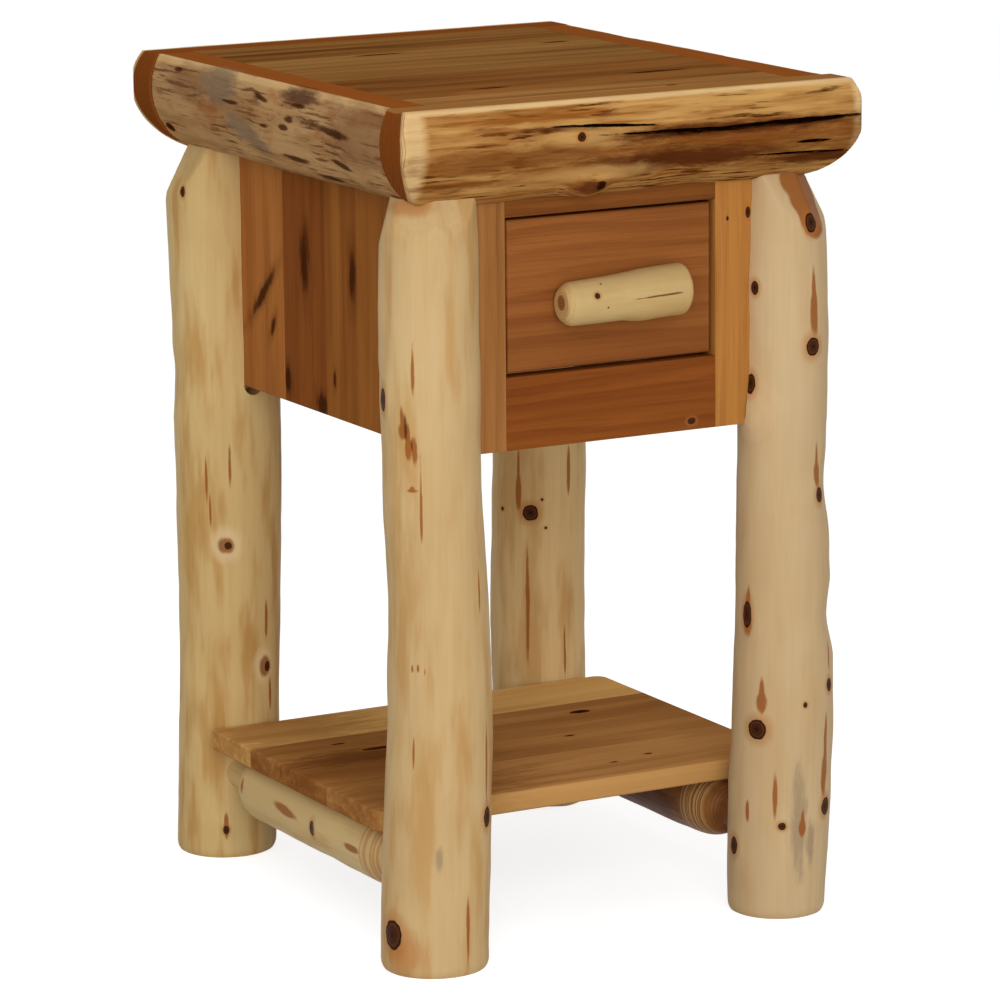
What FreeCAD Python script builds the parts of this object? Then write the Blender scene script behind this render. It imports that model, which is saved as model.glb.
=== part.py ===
import FreeCAD, Part
import math
import os

# Rustic log nightstand with one drawer and a low shelf, in millimetres.
# The origin is on the floor under the middle of the top, the drawer faces -Y and +Z is up.

# Overall size
height = 762.0
top_width = 452.0
top_depth = 552.0

# Half-log edging round the top
edge_log_radius = 62.0
edge_log_drop = 31.0
edge_log_reach = 45.0
edge_corner_round = 12.0
front_log_extra = 8.0

# Glued boards of the top, with a tongue all round that enters the edging
top_thickness = 22.0
tongue_length = 8.0
tongue_thickness = 7.0
tongue_clearance = 0.25
top_board_widths = [44.0, 146.0, 164.0, 55.0, 53.0]

# Peeled log legs
leg_radius = 46.0
leg_inset_x = 49.0
leg_inset_y = 56.0
foot_round = 4.0
cope_clearance = 0.4
cope_rise = 12.0
bevel_angle = 24.0
side_bevel_rise = 8.0

# Panels of the case, which stand in stopped grooves in the legs
panel_thickness = 19.0
case_height = 285.0
side_panel_inset = 13.0
frame_edging_gap = 0.3
groove_from_leg_centre = 24.0
groove_clearance = 0.3
groove_runout = 10.0
side_board_widths = [132.0, 63.0, 85.0, 112.0]
back_board_widths = [104.0, 98.0, 104.0]

# Face frame round the drawer
opening_width = 211.0
opening_height = 140.0
bottom_rail_height = 64.5
rail_tenon_length = 20.0
rail_tenon_thickness = 7.0
rail_tenon_shoulder = 10.0

# Drawer box
drawer_gap = 3.0
drawer_recess = 3.0
drawer_front_thickness = 19.0
drawer_front_ease = 3.0
drawer_side_thickness = 12.7
drawer_back_thickness = 12.7
drawer_rear_space = 60.4
drawer_side_drop = 4.0
drawer_run_clearance = 0.3
drawer_bottom_thickness = 6.0
drawer_bottom_rise = 12.0
drawer_bottom_seat = 6.0
drawer_bottom_clearance = 0.25
tail_count = 3
tail_width = 30.0
tail_slope = 6.0
front_tail_length = 13.0

# Strips inside the case that carry and guide the drawer and hold the top
strip_leg_gap = 9.0
runner_thickness = 22.0
runner_under_drawer = 18.0
guide_height = 26.0
guide_clearance = 0.7
kicker_thickness = 22.0
cleat_size = 22.0
stop_length = 13.0
stop_height = 24.0
stop_width = 16.0

# Branch pull on the drawer
pull_length = 116.0
pull_left_radius = 19.0
pull_middle_radius = 20.8
pull_right_radius = 23.0
pull_shift = 4.0
pull_flat = 3.0
pull_chamfer = 4.0
pull_drop = 5.8
pull_screw_spacing = 76.0

# Shelf and the log stretchers under it
shelf_height = 130.0
shelf_thickness = 19.0
shelf_past_leg = {"left": 29.0, "right": 40.0}
shelf_leg_gap = 3.5
shelf_corner_round = 12.0
shelf_board_widths = [100.0, 113.0, 43.0, 85.0]
stretcher_inset = {"left": 7.0, "right": 16.0}
stretcher_radius = 32.0
stretcher_rear_radius = 33.0
stretcher_flat = 3.0
stretcher_tenon_radius = 16.0
stretcher_tenon_depth = 38.0
stretcher_tenon_bare = 6.0
stretcher_shoulder = 42.0
mortise_clearance = 0.25
mortise_spare = 2.0

# Wood screws
screw_shank_radius = 2.2
screw_head_radius = 4.6
screw_head_height = 3.4
screw_hole_clearance = 0.2
screw_bite = 13.0
shelf_screw_pocket = 36.0
pull_screw_bite = 22.0
bottom_screw_bite = 14.0
bottom_screw_spacing = 110.0

# How each leg differs from a straight round: swell of the radius, lean in x and lean in y,
# at even steps from the floor to the top
leg_forms = {
    "front_left": [
        (2.5, -0.5, 0.0), (2.3, 3.0, -1.0), (1.0, 7.0, -1.0), (-1.0, 8.0, 0.0),
        (-2.5, 3.5, 0.0), (-1.5, 2.0, 0.0), (-2.5, 2.5, 0.0), (-4.0, 2.0, 0.0),
    ],
    "front_right": [
        (-0.8, -1.0, 0.0), (1.0, 2.0, -1.0), (0.2, 4.0, -4.0), (-2.7, 3.0, -4.0),
        (-5.3, 3.0, -2.0), (-4.5, 3.0, -3.0), (-6.0, 3.0, -2.0), (-9.0, 3.0, -2.0),
    ],
    "rear_left": [
        (2.2, 9.5, 1.0), (2.3, 14.0, 1.5), (2.5, 17.0, 1.0), (4.0, 18.0, 0.0),
        (5.0, 18.0, -1.0), (3.5, 16.0, -1.0), (3.0, 12.0, -1.0), (1.0, 10.0, -1.0),
    ],
    "rear_right": [
        (0.0, -2.0, 0.0), (1.0, -2.0, 1.0), (1.0, -3.0, 1.0), (0.3, -1.0, 0.0),
        (0.0, 0.0, 0.0), (-1.0, 0.0, 0.0), (-2.0, 0.0, 0.0), (-3.0, 0.0, 0.0),
    ],
}

# How far below the edging each leg's drawknife bevel starts
bevel_lengths = {"front_left": 34.0, "front_right": 54.0, "rear_left": 70.0, "rear_right": 40.0}

# How much each edging log thins at even steps along its length
long_edge_form = [-1.0, 0.0, -2.0, -0.5, -1.5, 0.0, -1.0]
short_edge_form = [0.0, -1.5, -0.5, -2.0, 0.0]

# Sides of the piece: the sign of x and of y
leg_corners = {
    "front_left": (-1, -1),
    "front_right": (1, -1),
    "rear_left": (-1, 1),
    "rear_right": (1, 1),
}
sides = {"left": -1, "right": 1}

# Places that follow from the sizes above
leg_x = top_width / 2 - leg_inset_x
leg_y = top_depth / 2 - leg_inset_y
sawn_x = top_width / 2 - edge_log_reach
sawn_y = top_depth / 2 - edge_log_reach
case_top = height - top_thickness
case_bottom = case_top - case_height
edge_chord = math.sqrt(edge_log_radius ** 2 - (edge_log_radius - edge_log_reach) ** 2)
edge_bottom = height - edge_log_drop - edge_chord
tongue_middle = height - top_thickness / 2

panel_end_y = leg_y - groove_from_leg_centre
panel_end_x = leg_x - groove_from_leg_centre
side_outer = leg_x - side_panel_inset
side_inner = side_outer - panel_thickness
frame_front = -(sawn_y - frame_edging_gap)
frame_back = frame_front + panel_thickness

opening_low = case_bottom + bottom_rail_height
opening_high = opening_low + opening_height
strip_end = leg_y - leg_radius - strip_leg_gap

drawer_face = frame_front + drawer_recess
drawer_front_back = drawer_face + drawer_front_thickness
drawer_rear = -frame_back - drawer_rear_space
drawer_back_face = drawer_rear - drawer_back_thickness
drawer_half = opening_width / 2 - drawer_gap
drawer_inner = drawer_half - drawer_side_thickness
drawer_low = opening_low + drawer_run_clearance
drawer_top = opening_high - drawer_side_drop
front_low = opening_low + drawer_gap
front_high = opening_high - drawer_gap
bottom_low = drawer_low + drawer_bottom_rise
bottom_high = bottom_low + drawer_bottom_thickness
pull_z = (front_low + front_high) / 2 - pull_drop
pull_y = drawer_face - pull_middle_radius + pull_flat

shelf_low = shelf_height - shelf_thickness
shelf_left = -leg_x - shelf_past_leg["left"]
shelf_right = leg_x + shelf_past_leg["right"]
shelf_half_y = leg_y - leg_radius - shelf_leg_gap
stretcher_z = shelf_low + stretcher_flat - stretcher_radius
stretcher_tip = leg_y - leg_radius + stretcher_tenon_depth
stretcher_neck = leg_y - leg_radius - stretcher_tenon_bare
stretcher_x = {
    -1: -leg_x + stretcher_inset["left"],
    1: leg_x - stretcher_inset["right"],
}


def vec(x, y, z):
    return FreeCAD.Vector(x, y, z)


def block(x0, x1, y0, y1, z0, z1):
    """Box between two values on each axis, in either order."""
    low = vec(min(x0, x1), min(y0, y1), min(z0, z1))
    return Part.makeBox(abs(x1 - x0), abs(y1 - y0), abs(z1 - z0), low)


def rod(centre, direction, radius, length):
    return Part.makeCylinder(radius, length, centre, direction)


def log_through(centres, radii, direction):
    """Round log lofted through circles square to its direction."""
    rings = []
    for centre, radius in zip(centres, radii):
        rings.append(Part.Wire([Part.Circle(centre, direction, radius).toShape()]))
    return Part.makeLoft(rings, True)


def turned(points, axis_point, axis_direction):
    """Solid of revolution of a closed outline, where a run with a middle point is an arc."""
    edges = []
    for start, middle, end in points:
        if middle is None:
            edges.append(Part.makeLine(start, end))
        else:
            edges.append(Part.Arc(start, middle, end).toShape())
    face = Part.Face(Part.Wire(edges))
    return face.revolve(axis_point, axis_direction, 360)


def wood_screw(head, direction, length):
    """Countersunk screw whose flat head starts at the given point."""
    neck = head + direction * screw_head_height
    cone = Part.makeCone(screw_head_radius, screw_shank_radius, screw_head_height, head, direction)
    shank = rod(neck, direction, screw_shank_radius, length - screw_head_height)
    return cone.fuse(shank).removeSplitter()


def screw_hole(head, direction, length):
    """Room for a screw of that length, with a clearance all round."""
    wide = screw_head_radius + screw_hole_clearance
    narrow = screw_shank_radius + screw_hole_clearance
    neck = head + direction * screw_head_height
    cone = Part.makeCone(wide, narrow, screw_head_height, head, direction)
    shank = rod(neck, direction, narrow, length - screw_head_height + screw_hole_clearance)
    return cone.fuse(shank)


def save(name, shape):
    if not shape.isValid():
        raise ValueError(name + " is not a valid solid")
    shape.exportStep("parts/" + name + ".step")


def edge_log(along_x, sign, form, extra):
    """Log of the edging before it is sawn: along x at the front or back, or along y at a side."""
    half = (top_width if along_x else top_depth) / 2
    length = 2 * half + (front_log_extra if along_x and sign < 0 else 0.0)
    across = sign * ((top_depth if along_x else top_width) / 2 - edge_log_radius)
    direction = vec(1, 0, 0) if along_x else vec(0, 1, 0)
    z = height - edge_log_drop
    centres = []
    radii = []
    for step, thin in enumerate(form):
        along = -half + length * step / (len(form) - 1)
        centres.append(vec(along, across, z) if along_x else vec(across, along, z))
        radii.append(edge_log_radius + thin + extra)
    return log_through(centres, radii, direction)


def edging_end_shape(extra):
    """Space that a front or back log fills, rounded down at both ends like the side logs."""
    lean = math.sqrt(edge_log_radius ** 2 - edge_log_drop ** 2)
    x_top = top_width / 2 - edge_log_radius + lean
    x_wide = top_width / 2
    y0 = -top_depth / 2
    z_wide = height - edge_log_drop
    edges = [
        Part.makeLine(vec(-x_top, y0, height), vec(x_top + extra, y0, height)),
        Part.Arc(
            vec(x_top + extra, y0, height), vec(x_wide + extra, y0, z_wide), vec(sawn_x + extra, y0, edge_bottom)
        ).toShape(),
        Part.makeLine(vec(sawn_x + extra, y0, edge_bottom), vec(-sawn_x, y0, edge_bottom)),
        Part.Arc(vec(-sawn_x, y0, edge_bottom), vec(-x_wide, y0, z_wide), vec(-x_top, y0, height)).toShape(),
    ]
    slab = Part.Face(Part.Wire(edges)).extrude(vec(0, top_depth, 0))
    plan = block(-x_wide, x_wide + extra, y0, -y0, edge_bottom, height)
    upright = [e for e in plan.Edges if abs(e.tangentAt(e.FirstParameter).z) > 0.9]
    return slab.common(plan.makeFillet(edge_corner_round, upright))


def build_edging():
    groove_half = tongue_thickness / 2 + tongue_clearance
    groove_depth = tongue_length + tongue_clearance
    groove_low = tongue_middle - groove_half
    groove_high = tongue_middle + groove_half
    for name, sign in (("front", -1), ("back", 1)):
        sawn = block(-top_width, top_width, sign * sawn_y, sign * top_depth, 0, height)
        groove_end = sawn_x + tongue_clearance
        groove = block(
            -groove_end, groove_end, sign * sawn_y, sign * (sawn_y + groove_depth), groove_low, groove_high
        )
        log = edge_log(True, sign, long_edge_form[::sign], 0.0)
        ends = edging_end_shape(front_log_extra if sign < 0 else 0.0)
        save("top_edge_log_" + name, log.common(sawn).common(ends).cut(groove))
    for name, sign in sides.items():
        sawn = block(sign * sawn_x, sign * top_width, -sawn_y, sawn_y, 0, height)
        groove = block(
            sign * sawn_x, sign * (sawn_x + groove_depth), -sawn_y, sawn_y, groove_low, groove_high
        )
        log = edge_log(False, sign, short_edge_form[::sign], 0.0)
        save("top_edge_log_" + name, log.common(sawn).cut(groove))


def board_edges(start, end, widths):
    """Edges of boards laid from start to end, whose widths share that length in proportion."""
    stretch = (end - start) / sum(widths)
    edges = [start]
    for width in widths:
        edges.append(edges[-1] + width * stretch)
    return edges


def top_screw_points():
    """Heads of the screws that go up through the cleats, one near each end and one in the middle."""
    x = side_inner - cleat_size / 2
    reach = strip_end - 2 * cleat_size
    points = []
    for sign in sides.values():
        for y in (-reach, 0.0, reach):
            points.append(vec(sign * x, y, case_top - cleat_size))
    return points


def build_top():
    up = vec(0, 0, 1)
    screw_length = cleat_size + screw_bite
    holes = [screw_hole(point, up, screw_length) for point in top_screw_points()]
    edges = board_edges(-sawn_y, sawn_y, top_board_widths)
    last = len(edges) - 2
    tongue_low = tongue_middle - tongue_thickness / 2
    tongue_high = tongue_middle + tongue_thickness / 2
    for index in range(len(edges) - 1):
        y0 = edges[index]
        y1 = edges[index + 1]
        board = block(-sawn_x, sawn_x, y0, y1, case_top, height)
        reach = sawn_x + tongue_length
        board = board.fuse(block(-reach, reach, y0, y1, tongue_low, tongue_high))
        if index == 0:
            board = board.fuse(block(-sawn_x, sawn_x, y0 - tongue_length, y0, tongue_low, tongue_high))
        if index == last:
            board = board.fuse(block(-sawn_x, sawn_x, y1, y1 + tongue_length, tongue_low, tongue_high))
        for hole in holes:
            board = board.cut(hole)
        save("top_board_%d" % (index + 1), board.removeSplitter())
    screws = [wood_screw(point, up, screw_length) for point in top_screw_points()]
    save("top_screws", Part.makeCompound(screws))


def leg_groove(x0, x1, y0, y1, along_x):
    """Stopped groove for a panel edge, with the round lower end that the cutter leaves."""
    low = case_bottom - groove_runout
    if along_x:
        radius = abs(y1 - y0) / 2
        end = rod(vec(min(x0, x1), (y0 + y1) / 2, low + radius), vec(1, 0, 0), radius, abs(x1 - x0))
    else:
        radius = abs(x1 - x0) / 2
        end = rod(vec((x0 + x1) / 2, min(y0, y1), low + radius), vec(0, 1, 0), radius, abs(y1 - y0))
    return block(x0, x1, y0, y1, low + radius, height).fuse(end)


def bevel_cutter(sign_x, sign_y, facing_x, facing_y, start):
    """Half space outside one drawknife facet, which starts at a height and faces a way in plan."""
    size = 6 * leg_radius
    wedge = block(0, size, -size, size, -leg_radius / 2, size)
    wedge.rotate(vec(0, 0, 0), vec(0, 1, 0), -bevel_angle)
    wedge.rotate(vec(0, 0, 0), vec(0, 0, 1), math.degrees(math.atan2(facing_y, facing_x)))
    reach = leg_radius / math.hypot(facing_x, facing_y)
    wedge.translate(vec(sign_x * leg_x + reach * facing_x, sign_y * leg_y + reach * facing_y, start))
    return wedge


def build_leg(corner):
    sign_x, sign_y = leg_corners[corner]
    centres = []
    radii = []
    form = leg_forms[corner]
    for step, (swell, lean_x, lean_y) in enumerate(form):
        z = case_top * step / (len(form) - 1)
        centres.append(vec(sign_x * leg_x + lean_x, sign_y * leg_y + lean_y, z))
        radii.append(leg_radius + swell)
    leg = log_through(centres, radii, vec(0, 0, 1))
    rim = [e for e in leg.Edges if e.BoundBox.ZMax < foot_round and e.Closed]
    leg = leg.makeFillet(foot_round, rim)
    bevel_start = edge_bottom - bevel_lengths[corner]
    leg = leg.cut(bevel_cutter(sign_x, sign_y, sign_x, sign_y, bevel_start))
    for facing_x, facing_y in ((sign_x, 0), (0, sign_y)):
        leg = leg.cut(bevel_cutter(sign_x, sign_y, facing_x, facing_y, bevel_start + side_bevel_rise))

    # The head of the leg stands inside the edging, and its outer part is coped under the logs
    shoulder = edge_bottom + cope_rise
    head_x = sawn_x - cope_clearance
    head_y = sawn_y - cope_clearance
    beyond_x = block(sign_x * head_x, sign_x * top_width, -top_depth, top_depth, edge_bottom / 2, height)
    beyond_y = block(-top_width, top_width, sign_y * head_y, sign_y * top_depth, edge_bottom / 2, height)
    side_log = edge_log(False, sign_x, short_edge_form[::sign_x], cope_clearance)
    long_log = edge_log(True, sign_y, long_edge_form[::sign_y], cope_clearance)
    leg = leg.cut(beyond_x.common(side_log)).cut(beyond_y.common(long_log))
    leg = leg.cut(block(sign_x * head_x, sign_x * top_width, -top_depth, top_depth, shoulder, height))
    leg = leg.cut(block(-top_width, top_width, sign_y * head_y, sign_y * top_depth, shoulder, height))

    # Grooves for the side panel and for the face frame or back panel
    gap = groove_clearance
    leg = leg.cut(leg_groove(
        sign_x * (side_inner - gap), sign_x * (side_outer + gap),
        0, sign_y * (panel_end_y + gap), False,
    ))
    leg = leg.cut(leg_groove(
        0, sign_x * (panel_end_x + gap),
        sign_y * (-frame_back - gap), sign_y * (-frame_front + gap), True,
    ))

    # Blind mortise for the stretcher
    mortise = rod(
        vec(stretcher_x[sign_x], 0, stretcher_z), vec(0, sign_y, 0),
        stretcher_tenon_radius + mortise_clearance, stretcher_tip + mortise_spare,
    )
    leg = leg.cut(mortise)
    solids = sorted(leg.Solids, key=lambda s: s.Volume)
    save("leg_" + corner, solids[-1])


def stretcher_screw_points(sign):
    """Screw heads in the stretcher, one under each shelf board."""
    head_z = stretcher_z - stretcher_radius + shelf_screw_pocket
    edges = shelf_edges()
    return [vec(stretcher_x[sign], (a + b) / 2, head_z) for a, b in zip(edges, edges[1:])]


def shelf_edges():
    return board_edges(-shelf_half_y, shelf_half_y, shelf_board_widths)


def shelf_screw_length():
    head_z = stretcher_z - stretcher_radius + shelf_screw_pocket
    return shelf_low - head_z + screw_bite


def build_stretcher(name, sign):
    """Log with round tenons and the rounded shoulders that a tenon cutter leaves."""
    x = stretcher_x[sign]

    def at(radius, y):
        return vec(x + radius, y, stretcher_z)

    neck = stretcher_neck
    full = neck - stretcher_shoulder
    bend = math.sqrt(0.5)
    bulge = stretcher_tenon_radius + (stretcher_radius - stretcher_tenon_radius) * bend
    bulge_y = neck - stretcher_shoulder * (1 - bend)
    tenon = stretcher_tenon_radius
    rear = stretcher_rear_radius
    rear_bulge = tenon + (rear - tenon) * bend
    outline = [
        (at(0, -stretcher_tip), None, at(tenon, -stretcher_tip)),
        (at(tenon, -stretcher_tip), None, at(tenon, -neck)),
        (at(tenon, -neck), at(bulge, -bulge_y), at(stretcher_radius, -full)),
        (at(stretcher_radius, -full), None, at(rear, full)),
        (at(rear, full), at(rear_bulge, bulge_y), at(tenon, neck)),
        (at(tenon, neck), None, at(tenon, stretcher_tip)),
        (at(tenon, stretcher_tip), None, at(0, stretcher_tip)),
        (at(0, stretcher_tip), None, at(0, -stretcher_tip)),
    ]
    log = turned(outline, vec(x, 0, stretcher_z), vec(0, 1, 0))
    seat = block(x - leg_radius, x + leg_radius, -neck, neck, shelf_low, shelf_low + leg_radius)
    log = log.cut(seat)
    up = vec(0, 0, 1)
    for point in stretcher_screw_points(sign):
        log = log.cut(screw_hole(point, up, shelf_screw_length()))
        pocket = rod(vec(point.x, point.y, 0), up, screw_head_radius + screw_hole_clearance, point.z)
        log = log.cut(pocket)
    save("stretcher_" + name, log)


def build_shelf():
    edges = shelf_edges()
    up = vec(0, 0, 1)
    length = shelf_screw_length()
    heads = [point for sign in sides.values() for point in stretcher_screw_points(sign)]
    last = len(edges) - 2
    for index in range(len(edges) - 1):
        board = block(shelf_left, shelf_right, edges[index], edges[index + 1], shelf_low, shelf_height)
        if index in (0, last):
            outer = edges[0] if index == 0 else edges[-1]
            corners = [
                e for e in board.Edges
                if abs(e.tangentAt(e.FirstParameter).z) > 0.9 and abs(e.BoundBox.YMin - outer) < 0.01
            ]
            board = board.makeFillet(shelf_corner_round, corners)
        for head in heads:
            board = board.cut(screw_hole(head, up, length))
        save("shelf_board_%d" % (index + 1), board)
    save("shelf_screws", Part.makeCompound([wood_screw(head, up, length) for head in heads]))


def build_case_panels():
    edges = board_edges(-panel_end_y, panel_end_y, side_board_widths)
    for name, sign in sides.items():
        for index in range(len(edges) - 1):
            board = block(
                sign * side_inner, sign * side_outer, edges[index], edges[index + 1], case_bottom, case_top
            )
            save("%s_side_board_%d" % (name, index + 1), board)
    edges = board_edges(-panel_end_x, panel_end_x, back_board_widths)
    for index in range(len(edges) - 1):
        board = block(
            edges[index], edges[index + 1], -frame_back, -frame_front, case_bottom, case_top
        )
        save("back_board_%d" % (index + 1), board)


def build_face_frame():
    half = opening_width / 2
    middle = (frame_front + frame_back) / 2
    tenons = []
    for name, low, high in (
        ("bottom", case_bottom, opening_low),
        ("top", opening_high, case_top),
    ):
        reach = half + rail_tenon_length
        tenon = block(
            -reach, reach,
            middle - rail_tenon_thickness / 2, middle + rail_tenon_thickness / 2,
            low + rail_tenon_shoulder, high - rail_tenon_shoulder,
        )
        tenons.append(tenon)
        rail = block(-half, half, frame_front, frame_back, low, high).fuse(tenon)
        save("face_frame_%s_rail" % name, rail.removeSplitter())
    for name, sign in sides.items():
        stile = block(sign * half, sign * panel_end_x, frame_front, frame_back, case_bottom, case_top)
        for tenon in tenons:
            stile = stile.cut(tenon)
        save("face_frame_%s_stile" % name, stile)


def build_drawer_strips():
    under = drawer_half - runner_under_drawer
    guide_inner = drawer_half + guide_clearance
    for name, sign in sides.items():
        wall = sign * side_inner
        runner = block(
            wall, sign * under, -strip_end, strip_end, opening_low - runner_thickness, opening_low
        )
        save("drawer_runner_" + name, runner)
        guide = block(
            wall, sign * guide_inner, -strip_end, strip_end, opening_low, opening_low + guide_height
        )
        save("drawer_guide_" + name, guide)
        kicker = block(
            wall, sign * under, -strip_end, strip_end, opening_high, opening_high + kicker_thickness
        )
        save("drawer_kicker_" + name, kicker)
        stop_y = drawer_rear + drawer_run_clearance
        stop = block(
            sign * guide_inner, sign * (guide_inner - stop_width), stop_y, stop_y + stop_length,
            opening_low, opening_low + stop_height,
        )
        save("drawer_stop_" + name, stop)
        cleat = block(
            wall, sign * (side_inner - cleat_size), -strip_end, strip_end, case_top - cleat_size, case_top
        )
        for point in top_screw_points():
            cleat = cleat.cut(screw_hole(point, vec(0, 0, 1), cleat_size + screw_bite))
        save("top_cleat_" + name, cleat)


def tail_middles(low, high):
    pitch = (high - low) / tail_count
    return [low + pitch * (index + 0.5) for index in range(tail_count)]


def drawer_side(sign):
    """Side with tails at both ends: lapped ones for the front and through ones for the back."""
    flare_front = front_tail_length / tail_slope
    flare_back = drawer_back_thickness / tail_slope
    tip = drawer_front_back - front_tail_length
    outline = [(drawer_front_back, drawer_low), (drawer_rear, drawer_low), (drawer_rear, bottom_high)]
    outline.append((drawer_back_face, bottom_high))
    for z in tail_middles(bottom_high, drawer_top):
        outline.append((drawer_back_face, z - tail_width / 2 + flare_back))
        outline.append((drawer_rear, z - tail_width / 2))
        outline.append((drawer_rear, z + tail_width / 2))
        outline.append((drawer_back_face, z + tail_width / 2 - flare_back))
    outline.append((drawer_back_face, drawer_top))
    outline.append((drawer_front_back, drawer_top))
    for z in reversed(tail_middles(front_low, drawer_top)):
        outline.append((drawer_front_back, z + tail_width / 2 - flare_front))
        outline.append((tip, z + tail_width / 2))
        outline.append((tip, z - tail_width / 2))
        outline.append((drawer_front_back, z - tail_width / 2 + flare_front))
    outline.append(outline[0])
    wire = Part.makePolygon([vec(sign * drawer_inner, y, z) for y, z in outline])
    return Part.Face(wire).extrude(vec(sign * drawer_side_thickness, 0, 0))


def pull_screw_points():
    half = pull_screw_spacing / 2
    return [vec(pull_shift + x, drawer_front_back, pull_z) for x in (-half, half)]


def bottom_screw_points():
    half = bottom_screw_spacing / 2
    y = drawer_rear - drawer_back_thickness / 2
    return [vec(x, y, bottom_low) for x in (-half, half)]


def build_drawer():
    ahead = vec(0, -1, 0)
    up = vec(0, 0, 1)
    pull_screw_length = drawer_front_thickness + pull_screw_bite
    bottom_screw_length = drawer_bottom_thickness + bottom_screw_bite
    seat = drawer_bottom_seat
    slack = drawer_bottom_clearance
    groove_end = drawer_inner + seat
    front_groove = drawer_front_back - seat
    groove = block(
        -groove_end, groove_end, front_groove, drawer_rear, bottom_low - slack, bottom_high
    )

    raw_sides = {name: drawer_side(sign) for name, sign in sides.items()}
    front = block(-drawer_half, drawer_half, drawer_face, drawer_front_back, front_low, front_high)
    eased = [e for e in front.Edges if abs(e.BoundBox.YMax - drawer_face) < 0.01]
    front = front.makeFillet(drawer_front_ease, eased)
    back = block(-drawer_half, drawer_half, drawer_back_face, drawer_rear, bottom_high, drawer_top)
    for name, side in raw_sides.items():
        front = front.cut(side)
        back = back.cut(side)
        save("drawer_side_" + name, side.cut(groove))
    front = front.cut(groove)
    for point in pull_screw_points():
        front = front.cut(screw_hole(point, ahead, pull_screw_length))
    save("drawer_front", front)
    for point in bottom_screw_points():
        back = back.cut(screw_hole(point, up, bottom_screw_length))
    save("drawer_back", back)

    bottom = block(
        -groove_end + slack, groove_end - slack, front_groove + slack, drawer_rear, bottom_low, bottom_high
    )
    for point in bottom_screw_points():
        bottom = bottom.cut(screw_hole(point, up, bottom_screw_length))
    save("drawer_bottom", bottom)

    screws = [wood_screw(point, up, bottom_screw_length) for point in bottom_screw_points()]
    save("drawer_bottom_screws", Part.makeCompound(screws))
    screws = [wood_screw(point, ahead, pull_screw_length) for point in pull_screw_points()]
    save("pull_screws", Part.makeCompound(screws))
    build_pull(ahead, pull_screw_length)


def build_pull(ahead, screw_length):
    """Short branch that grows thicker to the right, with chamfered ends and a flat that seats on the drawer."""
    half = pull_length / 2

    def at(radius, x):
        return vec(pull_shift + x, pull_y, pull_z + radius)

    left = pull_left_radius
    right = pull_right_radius
    shoulder = half - pull_chamfer
    outline = [
        (at(0, -half), None, at(left - pull_chamfer, -half)),
        (at(left - pull_chamfer, -half), None, at(left, -shoulder)),
        (at(left, -shoulder), at(pull_middle_radius, 0), at(right, shoulder)),
        (at(right, shoulder), None, at(right - pull_chamfer, half)),
        (at(right - pull_chamfer, half), None, at(0, half)),
        (at(0, half), None, at(0, -half)),
    ]
    branch = turned(outline, vec(0, pull_y, pull_z), vec(1, 0, 0))
    behind = block(-drawer_half, drawer_half, drawer_face, drawer_front_back, front_low, front_high)
    branch = branch.cut(behind)
    for point in pull_screw_points():
        branch = branch.cut(screw_hole(point, ahead, screw_length))
    save("drawer_pull", branch)


os.makedirs("parts", exist_ok=True)
for leg_corner in leg_corners:
    build_leg(leg_corner)
for side_name, side_sign in sides.items():
    build_stretcher(side_name, side_sign)
build_shelf()
build_case_panels()
build_face_frame()
build_drawer_strips()
build_edging()
build_top()
build_drawer()
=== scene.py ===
# %% [markdown]
# # A log nightstand with one drawer
# The real piece is built like a small log cabin: four peeled legs carry a case of glued boards,
# half-logs frame the top, and a shelf rests on two log stretchers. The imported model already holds
# every joint at its true size. This lesson loads it as a fixed frame and dresses it in wood.

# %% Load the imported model
import math

import bmesh
import bpy
from mathutils import Euler, Matrix, Vector


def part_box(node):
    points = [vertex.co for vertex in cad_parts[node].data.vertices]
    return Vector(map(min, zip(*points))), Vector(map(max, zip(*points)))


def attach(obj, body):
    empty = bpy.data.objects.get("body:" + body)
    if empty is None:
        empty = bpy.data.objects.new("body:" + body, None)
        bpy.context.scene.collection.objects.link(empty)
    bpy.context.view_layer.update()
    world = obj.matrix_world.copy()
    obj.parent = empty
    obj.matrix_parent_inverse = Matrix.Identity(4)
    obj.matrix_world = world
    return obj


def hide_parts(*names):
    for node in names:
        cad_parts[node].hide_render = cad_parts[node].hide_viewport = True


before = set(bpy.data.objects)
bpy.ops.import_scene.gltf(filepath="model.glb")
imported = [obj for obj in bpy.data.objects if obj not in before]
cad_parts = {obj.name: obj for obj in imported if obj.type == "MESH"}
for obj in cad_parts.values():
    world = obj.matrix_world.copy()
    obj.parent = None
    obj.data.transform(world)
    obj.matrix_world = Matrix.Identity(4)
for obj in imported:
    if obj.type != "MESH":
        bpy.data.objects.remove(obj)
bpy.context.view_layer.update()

# %% [markdown]
# ## Working by hand in code
# An operator acts on whatever is selected, so each step first clears the selection and then picks
# its vertices, edges or faces by their place. Sizes are easier to read in millimetres, so a small
# helper turns them into Blender's metres.

# %% Helpers for selecting and finishing
MM = 0.001
NEAR = 1e-5


def at(x, y, z):
    """A point given in millimetres, in Blender's metres."""
    return Vector((x, y, z)) * MM


def deselect_all():
    if bpy.context.mode != "OBJECT":
        bpy.ops.object.mode_set(mode="OBJECT")
    bpy.ops.object.select_all(action="DESELECT")


def make_active(piece):
    deselect_all()
    piece.select_set(True)
    bpy.context.view_layer.objects.active = piece


def edit(piece, mode="VERT"):
    """Enter edit mode on one piece, with nothing in it selected."""
    make_active(piece)
    bpy.ops.object.mode_set(mode="EDIT")
    bpy.ops.mesh.select_mode(type=mode)
    bpy.ops.mesh.select_all(action="DESELECT")


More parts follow.
